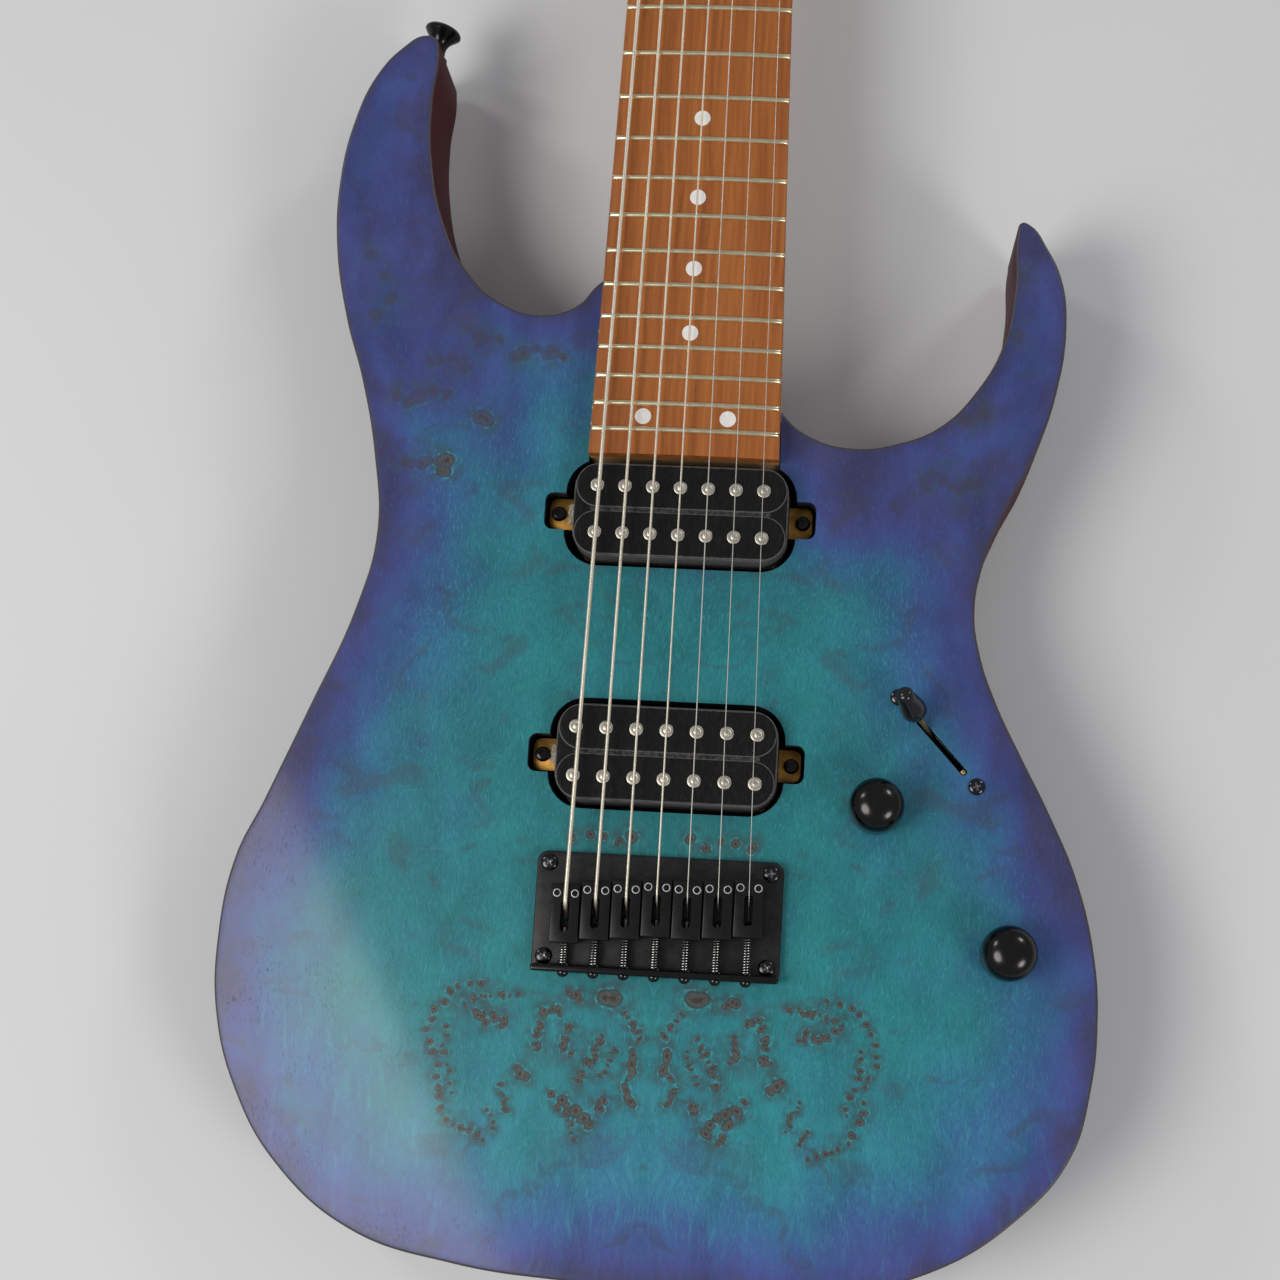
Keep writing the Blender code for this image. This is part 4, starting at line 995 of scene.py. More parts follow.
def body_solid(outline, top, bottom, top_round, bottom_round, eyes):
    """A solid between two height functions, its rims rounded.

    The top and its rounded rim have material 0, the side and the underside material 1.
    """
    count = len(outline)
    outward = []
    for number in range(count):
        along = Vector(outline[(number + 1) % count]) - Vector(outline[number - 1])
        along.normalize()
        outward.append(Vector((-along.y, along.x)))
    turns = [math.pi / 8 * step for step in range(5)]
    loops = []
    for turn in reversed(turns):
        loops.append((top, top_round * (1 - math.cos(turn)), top_round * (math.sin(turn) - 1)))
    for turn in turns if bottom_round else turns[:1]:
        loops.append((bottom, bottom_round * (1 - math.cos(turn)), -bottom_round * (math.sin(turn) - 1)))
    shape = bmesh.new()
    rings = []
    for height, inset, rise in loops:
        ring = []
        for spot, normal in zip(outline, outward):
            x = spot[0] - normal.x * inset
            y = spot[1] - normal.y * inset
            ring.append(shape.verts.new((x, y, height(x, y) + rise)))
        rings.append(ring)
    for number, (ring, following) in enumerate(zip(rings, rings[1:])):
        for spot in range(count):
            beside = (spot + 1) % count
            face = shape.faces.new((ring[spot], ring[beside], following[beside], following[spot]))
            face.material_index = 0 if number < 3 else 1
    for index, (ring, height) in enumerate(((rings[0], top), (rings[-1], bottom))):
        rim = [(vertex.co.x, vertex.co.y) for vertex in ring]
        flat = rim + rim_ring(rim, outward) + inner_points(rim, FLAT_MARGIN, [] if index else eyes)
        points = [Vector(spot) for spot in flat]
        found, _, faces, *_ = geometry.delaunay_2d_cdt(points, [], [list(range(count))], 1, 1e-6)
        vertices = list(ring)
        vertices += [shape.verts.new((spot.x, spot.y, height(spot.x, spot.y))) for spot in found[count:]]
        for corners in faces:
            face = shape.faces.new([vertices[corner] for corner in corners])
            face.material_index = index
    bmesh.ops.recalc_face_normals(shape, faces=shape.faces)
    return shape


def well_outlines():
    """The outlines of the pockets round the pickups, and of the slots for their ears."""
    outlines = []
    for pickup, ear_shift in EAR_SHIFT.items():
        spot = middle(pickup + "_coils")
        outlines.append(rounded_rectangle(*WELL_SIZE, WELL_CORNER, (-0.4, spot.y + 0.2)))
        outlines.append(rounded_rectangle(*EAR_SLOT, 3.0, (-0.6, spot.y + ear_shift), steps=5))
    return outlines


def half_width(y):
    """Half the fretboard's width."""
    last_fret = SCALE_LENGTH * (1 - 2 ** (-FRET_COUNT / 12))
    return NUT_HALF_WIDTH + (LAST_FRET_HALF_WIDTH - NUT_HALF_WIDTH) * (SCALE_LENGTH - y) / last_fret


def neck_pocket():
    """The space that the neck's heel fills."""
    start, end = 148.9, 245.0
    gap = 0.3
    outline = (
        (-half_width(start) - gap, start), (half_width(start) + gap, start),
        (half_width(end) + gap, end), (-half_width(end) - gap, end),
    )
    return slab(outline, BOARD_BOTTOM - HEEL_DEPTH - gap, CUTTER_TOP)


def switch_place():
    """The switch's slot: its middle, and the way that it runs."""
    joint = JOINTS["switch_throw"]
    pivot = Vector(joint["pos_m"]) / MM
    axis = Vector(joint["axis"])
    return pivot, math.atan2(-axis.x, axis.y)


def control_cutters(slot_width):
    """The slot of the switch and the holes of the pots."""
    pivot, turn = switch_place()
    slot = slab(rounded_rectangle(SWITCH_SLOT, slot_width, slot_width / 2 - 0.01), 30, CUTTER_TOP)
    cutters = [(moved(slot, at(pivot.x, pivot.y, 0, turn)), SHIELD)]
    for name in ("volume", "tone"):
        spot = middle(name + "_knob")
        hole = turned([(0, 60), (4.6, 60), (4.6, 36), (0, 36)], 24)
        cutters.append((moved(hole, at(spot.x, spot.y)), SHIELD))
    return cutters


def store(made, name, values):
    """Keep a number at each vertex."""
    layer = made.data.attributes.new(name, "FLOAT", "POINT")
    layer.data.foreach_set("value", np.array(values, np.float32))


def smoothstep(value, low, high):
    """0 below low, 1 above high, and smooth between."""
    share = np.clip((value - low) / (high - low), 0, 1)
    return share * share * (3 - 2 * share)


def store_burl_fields(made, outline, eyes):
    """Store the distance to the edge, how blue a spot is and how near an eye is, for the burl's look."""
    spots = np.array([vertex.co for vertex in made.data.vertices])[:, :2] / MM
    edge = distance_to_outline(spots, outline)
    x, y = spots[:, 0], spots[:, 1]
    tint = np.exp(-(edge / TINT_REACH) ** TINT_POWER)
    bass_horn = smoothstep(y, 105, 195) * smoothstep(-x, 20, 80)
    treble_horn = smoothstep(y, 85, 140) * smoothstep(x, 12, 60)
    tint = np.maximum(tint, HORN_TINT * np.maximum(bass_horn, treble_horn))
    near = np.full(len(spots), EYE_LIMIT)
    for eye in eyes:
        near = np.minimum(near, eye_distance(x, y, eye))
    store(made, "edge", edge)
    store(made, "tint", tint)
    store(made, "eye", near)


def make_body():
    """The veneered top and the stained core under it."""
    outline = smooth_outline(BODY_OUTLINE, 12)
    eyes = [eye for eye in burl_eye_spots() if inside([eye[:2]], outline)[0]]
    wells = well_outlines()
    top = new_object("figured_top", body_solid(outline, top_height, veneer_bottom, TOP_ROUND, 0, eyes),
        [BURL, STAIN])
    cutters = [(slab(well, WELL_FLOOR, CUTTER_TOP), POCKET_EDGE) for well in wells]
    carve(top, cutters + [(neck_pocket(), POCKET_EDGE)] + control_cutters(2.4))
    store_burl_fields(top, outline, eyes)
    settle(top, replaces=("burl_top",))
    shape = body_solid(outline, core_top, back_height, 0.01, BACK_ROUND, [])
    for face in shape.faces:
        face.material_index = 0
    core = new_object("body_wood", shape, [STAIN])
    cutters = [(slab(well, WELL_FLOOR, CUTTER_TOP), SHIELD) for well in wells]
    cutters += [(neck_pocket(), SHIELD)] + control_cutters(7.0) + back_cutters()
    carve(core, cutters)
    settle(core, replaces=("body_core",))


def jack_matrix():
    """The place of the output jack, with Z pointing out of the body's side."""
    return Matrix.Translation(JACK_AT) @ Euler((0, math.pi / 2, JACK_ANGLE)).to_matrix().to_4x4()


def back_cutters():
    """The recesses in the back and in the side."""
    cover = smooth_outline(outset(CAVITY_OUTLINE, COVER_MARGIN), 8)
    ferrules = rounded_rectangle(78.6, 9.6, 4.5, (0, STRING_HOLE_Y))
    plate_low, plate_high = span("neck_plate")
    size = plate_high - plate_low
    spot = (plate_low + plate_high) / 2
    plate = rounded_rectangle(size.x + 0.6, size.y + 0.6, 4.0, (spot.x, spot.y))
    jack = moved(block((-10.3, -15.3, -3.0), (10.3, 15.3, 20)), jack_matrix())
    bore = moved(turned([(0, 5), (10.5, 5), (10.5, -40), (0, -40)], 32), jack_matrix())
    flats = [slab(cover, -5, 2.7), slab(ferrules, -5, 4.3), slab(plate, -5, 2.6), jack, bore]
    return [(shape, SHIELD) for shape in flats]


# ---------------------------------------------------------------- hardware shapes


def phillips_template(radius, height):
    """A domed screw head with a cross recess, as a mesh that is used again and again."""
    profile = [(0, height)]
    for step in range(1, 9):
        turn = math.pi / 2 * step / 8
        profile.append((radius * math.sin(turn), height * (0.3 + 0.7 * math.cos(turn))))
    profile += [(radius * 0.97, 0), (0, 0)]
    head = new_object("screw_template", turned(profile, 40), [SCREW_METAL])
    arm = radius * 0.52
    thin = radius * 0.13
    arms = []
    for turn in (0, math.pi / 2):
        arms.append(moved(block((-arm, -thin, height * 0.45), (arm, thin, height + 1)),
            Matrix.Rotation(turn, 4, "Z")))
    well = turned([(0, height + 1), (radius * 0.26, height + 1), (radius * 0.2, height * 0.4),
        (0, height * 0.3)], 12)
    # The recess walls take the lighter metal: painted glints.
    carve(head, [(shape, RECESS_GLINT_AND_TIP_METAL) for shape in arms + [well]])
    mesh = head.data
    bpy.data.objects.remove(head)
    return mesh


def screw(mesh, name, place):
    """A screw head from a template, put in a place given in millimetres."""
    made = bpy.data.objects.new(name, mesh.copy())
    bpy.context.scene.collection.objects.link(made)
    metres = place.copy()
    metres.translation = metres.translation * MM
    made.data.transform(metres)
    settle(made)


SCREW_LARGE = phillips_template(2.9, 1.5)
SCREW_SMALL = phillips_template(1.6, 0.9)


# ---------------------------------------------------------------- neck


def neck_section(y, depth, squareness, top=BOARD_BOTTOM):
    """A cross-section of the neck: flat on top, round below."""
    wide = half_width(y)
    points = []
    for step in range(41):
        around = math.pi * step / 40
        x = -wide * math.copysign(abs(math.cos(around)) ** (2 / squareness), math.cos(around))
        points.append(Vector((x, y, top - depth * math.sin(around) ** (2 / squareness))))
    return points


def head_matrix():
    """The headstock's tilted frame."""
    return Matrix.Translation(HEAD_START) @ Matrix.Rotation(-HEAD_TILT, 4, "X")


def make_neck():
    """The neck, and the headstock that it runs into."""
    rows = []
    for (y1, depth1, square1), (y2, depth2, square2) in zip(NECK_SECTIONS, NECK_SECTIONS[1:]):
        for step in range(8):
            share = step / 8
            ease = share * share * (3 - 2 * share)
            rows.append(neck_section(y1 + (y2 - y1) * share, depth1 + (depth2 - depth1) * ease,
                                     square1 + (square2 - square1) * ease))
    rows.append(neck_section(*NECK_SECTIONS[-1]))
    rows.append(neck_section(674.0, 11.5, 9.0, top=40.5))
    outline = smooth_outline(HEAD_OUTLINE, 10, (HEAD_OUTLINE[0], HEAD_OUTLINE[-1]))
    head = moved(slab(outline, -HEAD_THICKNESS, -0.02, 1.6, 4, both=True), head_matrix())
    piece("neck_wood", merged(skin(rows), head), MAPLE, replaces=("neck",))


def crown_drop(x):
    """How far the radiused board falls away from its middle."""
    return BOARD_RADIUS - math.sqrt(BOARD_RADIUS ** 2 - x ** 2)


def fret_y(number):
    """Where a fret lies."""
    return SCALE_LENGTH * 2 ** (-number / 12)


def make_fretboard():
    """The radiused board, its frets and its dots."""
    low, high = span("fretboard")
    rows = []
    for step in range(13):
        y = low.y + (high.y - low.y) * step / 12
        wide = half_width(y)
        row = [Vector((wide, y, BOARD_BOTTOM + 0.01)), Vector((-wide, y, BOARD_BOTTOM + 0.01))]
        for turn in (0, 30, 60):
            angle = math.radians(turn)
            x = -wide + 0.5 * (1 - math.cos(angle))
            row.append(Vector((x, y, BOARD_TOP - crown_drop(x) - 0.5 + 0.5 * math.sin(angle))))
        for across in range(25):
            x = (wide - 0.6) * (across / 12 - 1)
            row.append(Vector((x, y, BOARD_TOP - crown_drop(x))))
        for turn in (60, 30, 0):
            angle = math.radians(turn)
            x = wide - 0.5 * (1 - math.cos(angle))
            row.append(Vector((x, y, BOARD_TOP - crown_drop(x) - 0.5 + 0.5 * math.sin(angle))))
        rows.append(row)
    piece("fretboard_wood", skin(rows), BOARD_WOOD, replaces=("fretboard",))
    for number in range(1, FRET_COUNT + 1):
        make_fret(number)
    make_dots()


def make_fret(number):
    """One fret: a crowned wire across the board, its ends filed to a slope."""
    y = fret_y(number)
    wide = half_width(y) - 0.1
    stations = [(-wide, 0.12), (-wide + 0.25, 0.62), (-wide + 0.9, 1.0)]
    stations += [((wide - 0.9) * (step / 9 - 1), 1.0) for step in range(1, 18)]
    stations += [(wide - 0.9, 1.0), (wide - 0.25, 0.62), (wide, 0.12)]
    rows = []
    for x, rise in stations:
        base = BOARD_TOP - crown_drop(x)
        row = []
        for step in range(13):
            around = math.pi * step / 12
            tall = FRET_HEIGHT * rise * math.sin(around) ** 0.95
            row.append(Vector((x, y + FRET_HALF_WIDTH * math.cos(around),
                base - 0.15 + tall + 0.15 * rise)))
        row.append(Vector((x, y - FRET_HALF_WIDTH, base - 0.3)))
        row.append(Vector((x, y + FRET_HALF_WIDTH, base - 0.3)))
        rows.append(row)
    piece(f"fret_{number:02d}", skin(rows), FRET_METAL)


def make_dots():
    """The dots along the middle of the board, doubled at the octaves, and the small ones on its side."""
    for number in DOTTED_FRETS:
        y = (fret_y(number) + fret_y(number - 1)) / 2
        double = number in OCTAVES
        for place, x in enumerate((-DOT_SPREAD, DOT_SPREAD) if double else (0,)):
            z = BOARD_TOP - crown_drop(x)
            dot = turned([(0, 0.05), (2.0, 0.045), (2.9, 0.03), (3.0, -0.1), (3.0, -1.0), (0, -1.0)], 40)
            place_at = facing((x, y, z), (x / BOARD_RADIUS, 0, 1))
            piece(f"dot_{number:02d}_{place + 1}", dot, INLAY, place=place_at)
        for place, shift in enumerate((-SIDE_DOT_SPREAD, SIDE_DOT_SPREAD) if double else (0,)):
            dot = turned([(0, 0.04), (0.9, 0.03), (1.0, -0.05), (1.0, -1.0), (0, -1.0)], 20)
            place_at = facing((-half_width(y + shift), y + shift, BOARD_TOP - 2.6), (-1, 0, 0))
            piece(f"side_dot_{number:02d}_{place + 1}", dot, INLAY, place=place_at)


def make_nut_and_cover():
    """The nut, and the cover of the truss rod with its screws."""
    refined("nut", "graphite_nut", NUT_PLASTIC, 0.25)
    outline = smooth_outline(((-11, 4), (11, 4), (12, 18), (7, 40), (0, 45), (-7, 40), (-12, 18)), 10)
    cover = slab(outline, 0.05, 1.9, 0.5, 3)
    piece("rod_cover", cover, BLACK_PLASTIC, place=head_matrix(),
        replaces=("truss_rod_cover",))
    for number, (u, v) in enumerate(ROD_COVER_SCREWS):
        screw(SCREW_SMALL, f"rod_cover_screw_{number + 1}", head_matrix() @ at(u, v, 1.7, 0.4 * number))


# ---------------------------------------------------------------- tuners


def tuner_place(number):
    """A tuner's own place: Z up its post, Y along its button's shaft."""
    post = JOINTS[f"tuner_post_{number}_turn"]
    button = JOINTS[f"tuner_button_{number}_turn"]
    axis = Vector(post["axis"])
    foot = Vector(post["pos_m"]) / MM
    height = (foot - HEAD_START).dot(axis)
    return facing(foot - axis * height, axis, Vector(button["axis"]))


def make_tuner(number):
    """One machine: its housing and cover, its post and bushing, and its button."""
    place = tuner_place(number)
    refined(f"tuner_housing_{number}", f"machine_{number}", BLACK_METAL, 1.0, segments=3)
    bottom = -HEAD_THICKNESS - 0.3 - 9.5
    cap = turned([(0, bottom - 0.7), (3.6, bottom - 0.7), (4.6, bottom - 0.3), (4.9, bottom + 0.2),
        (0, bottom + 0.2)], 32)
    piece(f"machine_cap_{number}", cap, SATIN_METAL, place=place)
    bushing = turned([(3.05, 1.9), (4.2, 1.9), (4.9, 1.3), (5.0, 0.9), (6.6, 0.8), (7.0, 0.4), (7.0, 0),
        (3.05, 0)], 40)
    piece(f"bushing_{number}", bushing, BLACK_METAL, place=place)
    post = [
        (0, 21.0), (2.1, 21.0), (2.7, 20.7), (3.0, 20.0), (3.0, 12.9), (2.8, 12.1), (2.5, 11.3),
        (2.45, 9.0), (2.5, 6.7),
        (2.8, 5.9), (3.0, 5.2), (3.0, -17), (5.0, -17), (5.0, -21.4), (0, -21.4),
    ]
    # Painted shade: a black disc on the post stands in for the dark of its string hole.
    painted_hole_shade = turned([(0, 0.02), (0.95, 0.02), (0.95, -0.4), (0, -0.4)], 16)
    painted_hole_shade = moved(painted_hole_shade, Matrix.Translation((0, 3.0, 15.0)) @ Matrix.Rotation(-math.pi / 2, 4, "X"))
    body = f"tuner_post_{number}"
    piece(f"post_{number}", turned(post, 32), BLACK_METAL, body, place, replaces=(body,))
    piece(f"post_eyelet_{number}", painted_hole_shade, SHIELD, body, place)
    make_button(number, place)


def make_button(number, place):
    """A tuner's button: a waisted shaft with a pinched oval paddle."""
    body = f"tuner_button_{number}"
    pivot = Vector(JOINTS[f"tuner_button_{number}_turn"]["pos_m"]) / MM
    local = place.inverted() @ pivot
    shaft = turned([
        (0, -4.5), (1.75, -4.5), (1.75, 9.0), (2.9, 9.3), (3.1, 10.0), (2.9, 10.7), (1.75, 11.0),
        (1.75, 17.5),
        (2.2, 19.0), (3.0, 20.0), (3.2, 21.5), (3.2, 23.5), (0, 24.0),
    ], 28)
    paddle = moved(pillow((7.9, 2.5, 6.4), 2.9), Matrix.Translation((0, 0, 28.6)))
    for vertex in paddle.verts:
        vertex.co.y *= 1 - 0.28 * math.exp(-(vertex.co.x / 3.4) ** 2)
    turn = Matrix.Translation((local.x, local.y, local.z)) @ Matrix.Rotation(-math.pi / 2, 4, "X")
    shape = moved(merged(shaft, paddle), turn)
    piece(f"button_{number}", shape, BLACK_METAL, body, place, replaces=(body,))


# ---------------------------------------------------------------- strings


def string_path(index):
    """A string's route: out of the body, over its saddle and the nut, and round its post."""
    step = index - (STRING_COUNT - 1) / 2
    bridge_x = middle(f"saddle_{index + 1}").x
    nut_x = step * NUT_PITCH
    radius = STRING_DIAMETERS[index] / 2
    over = Vector((bridge_x, SADDLE_SCREW_Y[index] + SLOT_FRONT - radius - 0.3,
        SADDLE_STRING_Z - crown_drop(bridge_x)))
    under = Vector((bridge_x, STRING_HOLE_Y, 46.2))
    nut = Vector((nut_x, SCALE_LENGTH - 0.5, NUT_STRING_Z - crown_drop(nut_x) + 0.15))
    points = [Vector((bridge_x, STRING_HOLE_Y, 5.0)), Vector((bridge_x, STRING_HOLE_Y, 44.0))]
    points += curve_through(Vector((bridge_x, STRING_HOLE_Y, 45.2)), under, under.lerp(over, 0.1), 4)
    points += curve_through(under.lerp(over, 0.8), over, over.lerp(nut, 0.004), 8)
    points += [over.lerp(nut, share / 8) for share in range(1, 8)]
    exit_point = Vector((nut_x, SCALE_LENGTH + 5.1, nut.z - 0.05))
    points += [nut, exit_point]
    winding = 2.5 + radius
    turns = 2 if radius > 0.45 else 3 if radius > 0.3 else 4
    post = head_matrix().inverted() @ tuner_place(index + 1).translation
    pitch = 2 * radius + 0.04
    for number in range(turns * 20 + 1):
        around = 2 * math.pi * number / 20
        drop = 10.3 - pitch * number / 20
        spot = Vector((post.x + winding * math.cos(around), post.y + winding * math.sin(around), drop))
        points.append(head_matrix() @ spot)
    return points


def curve_through(start, bend, end, steps):
    """A soft corner between two straight stretches."""
    spots = []
    for step in range(steps + 1):
        share = step / steps
        spots.append(start.lerp(bend, share).lerp(bend.lerp(end, share), share))
    return spots


def make_strings():
    """The seven strings, the thick ones wound."""
    for index, diameter in enumerate(STRING_DIAMETERS):
        look = WOUND_STRING if index < WOUND_STRINGS else PLAIN_STRING
        shape = tube(string_path(index), diameter / 2, 14)
        piece(f"guitar_string_{index + 1}", shape, look, replaces=(f"string_{index + 1}",))


# ---------------------------------------------------------------- pickups


def stadium(width, depth, middle_at):
    """The outline of a bobbin, its ends round."""
    return rounded_rectangle(width, depth, depth / 2 - 0.05, middle_at, steps=14)


def make_pickup(name):
    """One pickup: its body, two bobbins with their poles, the bar between them, and its sprung feet."""
    low, high = span(name + "_coils")
    size = high - low
    spot = (low + high) / 2
    top = high.z
    outline = rounded_rectangle(size.x, size.y, SHELL_CORNER, (spot.x, spot.y), 12)
    shell = with_inner_loop(slab(outline, low.z, top - 0.5, 0.5, 3), top - 0.5)
    made = piece(name + "_shell", shell, BOBBIN, replaces=(name + "_coils",))
    mark_edges(made, outline)
    for row, side in enumerate((-1, 1)):
        where = (spot.x, spot.y + side * (size.y / 4 + 0.1))
        outline = stadium(size.x - 1.0, size.y / 2 - 1.0, where)
        bobbin = with_inner_loop(slab(outline, top - 2, top, 0.3, 3), top)
        made = piece(f"{name}_bobbin_{row + 1}", bobbin, BOBBIN)
        mark_edges(made, outline)
        for pole in range(STRING_COUNT):
            x = (pole - 3) * POLE_PITCH[name] + POLE_SHIFT
            make_pole(f"{name}_pole_{row + 1}_{pole + 1}", x, where[1], top)
    bar = slab(rounded_rectangle(size.x - 12, 1.3, 0.6, (spot.x, spot.y), 4), top - 2, top - 0.1, 0.25, 2)
    made = piece(name + "_bar", bar, BOBBIN)
    store(made, "edge", [0.42] * len(made.data.vertices))
    # Painted shade: a black band round the bottom of the pickup hides the brass baseplate's edge under the
    # bobbins, which falls in shade.
    band = slab(rounded_rectangle(size.x + 0.6, size.y + 1.3, 9.9, (spot.x, spot.y), 12), low.z - 1.9,
        low.z + 0.6, 0.15, 2)
    made = piece(name + "_painted_shade_band", band, BOBBIN)
    store(made, "edge", [9.0] * len(made.data.vertices))
    make_feet(name)


def with_inner_loop(shape, top):
    """The same shape with a second loop of points just inside the rim of its top."""
    faces = [face for face in shape.faces if all(abs(vertex.co.z - top) < 1e-4 for vertex in face.verts)]
    bmesh.ops.inset_region(shape, faces=faces, thickness=0.9)
    return shape


def mark_edges(made, outline):
    """Store each vertex's distance from an outline, for the wear along it."""
    spots = [(vertex.co.x / MM, vertex.co.y / MM) for vertex in made.data.vertices]
    store(made, "edge", distance_to_outline(spots, outline))


def make_pole(name, x, y, top):
    """A pole: a domed nickel slug with a turned ring round a raised middle."""
    r = POLE_RADIUS
    profile = [
        (0, 0.52), (0.35, 0.50), (0.68, 0.42), (0.92, 0.30), (1.1, 0.24), (1.35, 0.24), (1.5, 0.30),
        (1.65, 0.32),
        (1.8, 0.28), (2.0, 0.26), (r - 0.3, 0.25), (r - 0.08, 0.14), (r, -0.05), (r, -1.5), (0, -1.5),
    ]
    piece(name, turned(profile, 36), POLE_METAL, place=at(x, y, top + 0.02))


def make_feet(name):
    """The brass baseplate, a sprung black screw through each of its ears, and the tape by one ear."""
    refined(name + "_baseplate", name + "_plate", GOLD, 0.25)
    low, high = span(name + "_baseplate")
    y = middle(name + "_coils").y + EAR_SHIFT[name]
    for number, x in enumerate((low.x + 3.4, high.x - 3.4)):
        head = turned([(0, 1.0), (1.1, 1.0), (1.2, 1.9), (2.1, 1.7), (2.6, 1.0), (2.7, 0), (0, 0)], 32)
        piece(f"{name}_ear_screw_{number + 1}", head, BLACK_METAL, place=at(x, y, high.z))
        spring_path = []
        for step in range(73):
            around = 2 * math.pi * step / 12
            spring_path.append((x + 2.9 * math.cos(around), y + 2.9 * math.sin(around),
                low.z - 0.5 - step * 0.19))
        spring = tube(spring_path, 0.35, 6)
        piece(f"{name}_ear_spring_{number + 1}", spring, SPRING_METAL)
    coil = span(name + "_coils")[0]
    rows = []
    spots = [(number, 0.1) for number in range(7)] + [(number, 0.0) for number in range(6, -1, -1)]
    for step in range(15):
        row = []
        for across, lift in spots:
            crease = 0.22 * math.sin(step * 1.9 + across * 2.3) + 0.16 * math.sin(step * 0.8 - across * 1.7)
            x = coil.x - 2.9 + across * 0.5 + 0.1 * math.sin(step * 1.3)
            row.append(Vector((x, y - 3.6 + step * 0.5, high.z + 0.7 + 0.5 * across + crease + lift)))
        rows.append(row)
    piece(name + "_tape", skin(rows), FILM)


# ---------------------------------------------------------------- bridge


def make_bridge():
    """The bridge: a satin plate with a glossy lip, its screws, saddles, springs and long screws."""
    low, high = span("bridge_plate")
    plate_top = low.z + 2.5
    centre = (low + high) / 2
    outline = rounded_rectangle(high.x - low.x, high.y - low.y, 3.6, (centre.x, centre.y), 8)
    made = new_object("bridge_base", slab(outline, low.z, plate_top, 0.5, 3), [SATIN_METAL])
    holes = []
    for index in range(STRING_COUNT):
        x = middle(f"saddle_{index + 1}").x
        holes.append((moved(turned([(0, 50), (1.8, 50), (1.8, 40), (0, 40)], 20), at(x, STRING_HOLE_Y)),
            SHIELD))
    carve(made, holes)
    settle(made, replaces=("bridge_plate",))
    lip = block((low.x + 0.2, low.y, plate_top - 0.4), (high.x - 0.2, low.y + 2.5, high.z), 0.8, 4)
    piece("bridge_lip", lip, KNOB_METAL)
    for number, (x, y) in enumerate(BRIDGE_SCREWS):
        screw(SCREW_LARGE, f"bridge_screw_{number + 1}", at(x, y, plate_top, 0.7 + number))
    for index in range(STRING_COUNT):
        make_saddle(index, low.y, plate_top)


def make_saddle(index, lip_y, plate_top):
    """One saddle with its two height screws, and its long screw, spring and head behind the lip."""
    number = index + 1
    node = f"saddle_{number}"
    low, high = span(node)
    x = (low.x + high.x) / 2
    screw_y = SADDLE_SCREW_Y[index]
    body = block((low.x, low.y, 49.2), (high.x, high.y, high.z), 0.45, 3)
    made = new_object(f"saddle_block_{number}", body, [SADDLE_METAL])
    slot_middle = (x, screw_y + (SLOT_FRONT + SLOT_REAR) / 2)
    slot = slab(rounded_rectangle(3.0, SLOT_FRONT - SLOT_REAR, 1.45, slot_middle, 6), 40, 70)
    carve(made, [(slot, SADDLE_METAL)])
    settle(made, node, replaces=(node,))
    for side in (-1, 1):
        spot = at(x + side * 3.1, screw_y, 0)
        ring = turned([
            (1.05, high.z - 0.3), (1.05, high.z + 0.12), (1.15, high.z + 0.2), (1.32, high.z + 0.19),
            (1.45, high.z + 0.02),
            (1.45, plate_top + 0.05), (1.05, plate_top + 0.05),
        ], 28)
        piece(f"height_screw_{number}_{side + 2}", ring, RING_METAL, node, spot)
        # Painted shade: a black disc of shielding paint stands in for the dark of each screw's hex socket.
        socket = turned([(0, high.z - 0.12), (1.1, high.z - 0.12), (1.1, high.z - 1.0), (0, high.z - 1.0)],
            12)
        piece(f"height_socket_{number}_{side + 2}", socket, SHIELD, node, spot)
    axis_z = 50.4
    rod = [(x, screw_y + SLOT_REAR + 2.0, axis_z), (x, screw_y + SLOT_REAR + 0.6, axis_z),
        (x, lip_y + 2.0, axis_z)]
    piece(f"long_screw_{number}", tube(rod, 0.6, 16), SADDLE_METAL, node)
    tip = tube([(x, screw_y + SLOT_REAR + 0.1, 51.6), (x, screw_y + SLOT_REAR + HEX_TIPS[index], 51.6)],
        0.85, 6)
    piece(f"long_screw_tip_{number}", tip, RECESS_GLINT_AND_TIP_METAL, node)
    start = low.y - 0.2
    end = lip_y + 2.6
    coils = max(4, round((end - start) / -0.92))
    spring_path = []
    for step in range(coils * 14 + 1):
        around = 2 * math.pi * step / 14
        y = start + (end - start) * step / (coils * 14)
        spring_path.append((x + 1.45 * math.cos(around), y, axis_z + 1.45 * math.sin(around)))
    spring = new_object(f"saddle_spring_{number}", tube(spring_path, 0.26, 8), [SPRING_METAL])
    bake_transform(spring)
    head = turned([(0, 1.75), (0.9, 1.6), (1.6, 1.15), (2.0, 0.5), (2.05, 0), (0, 0)], 28)
    piece(f"long_screw_head_{number}", head, SCREW_METAL,
        place=facing((x, lip_y, 49.4), (0, -1, 0)))


# ---------------------------------------------------------------- controls


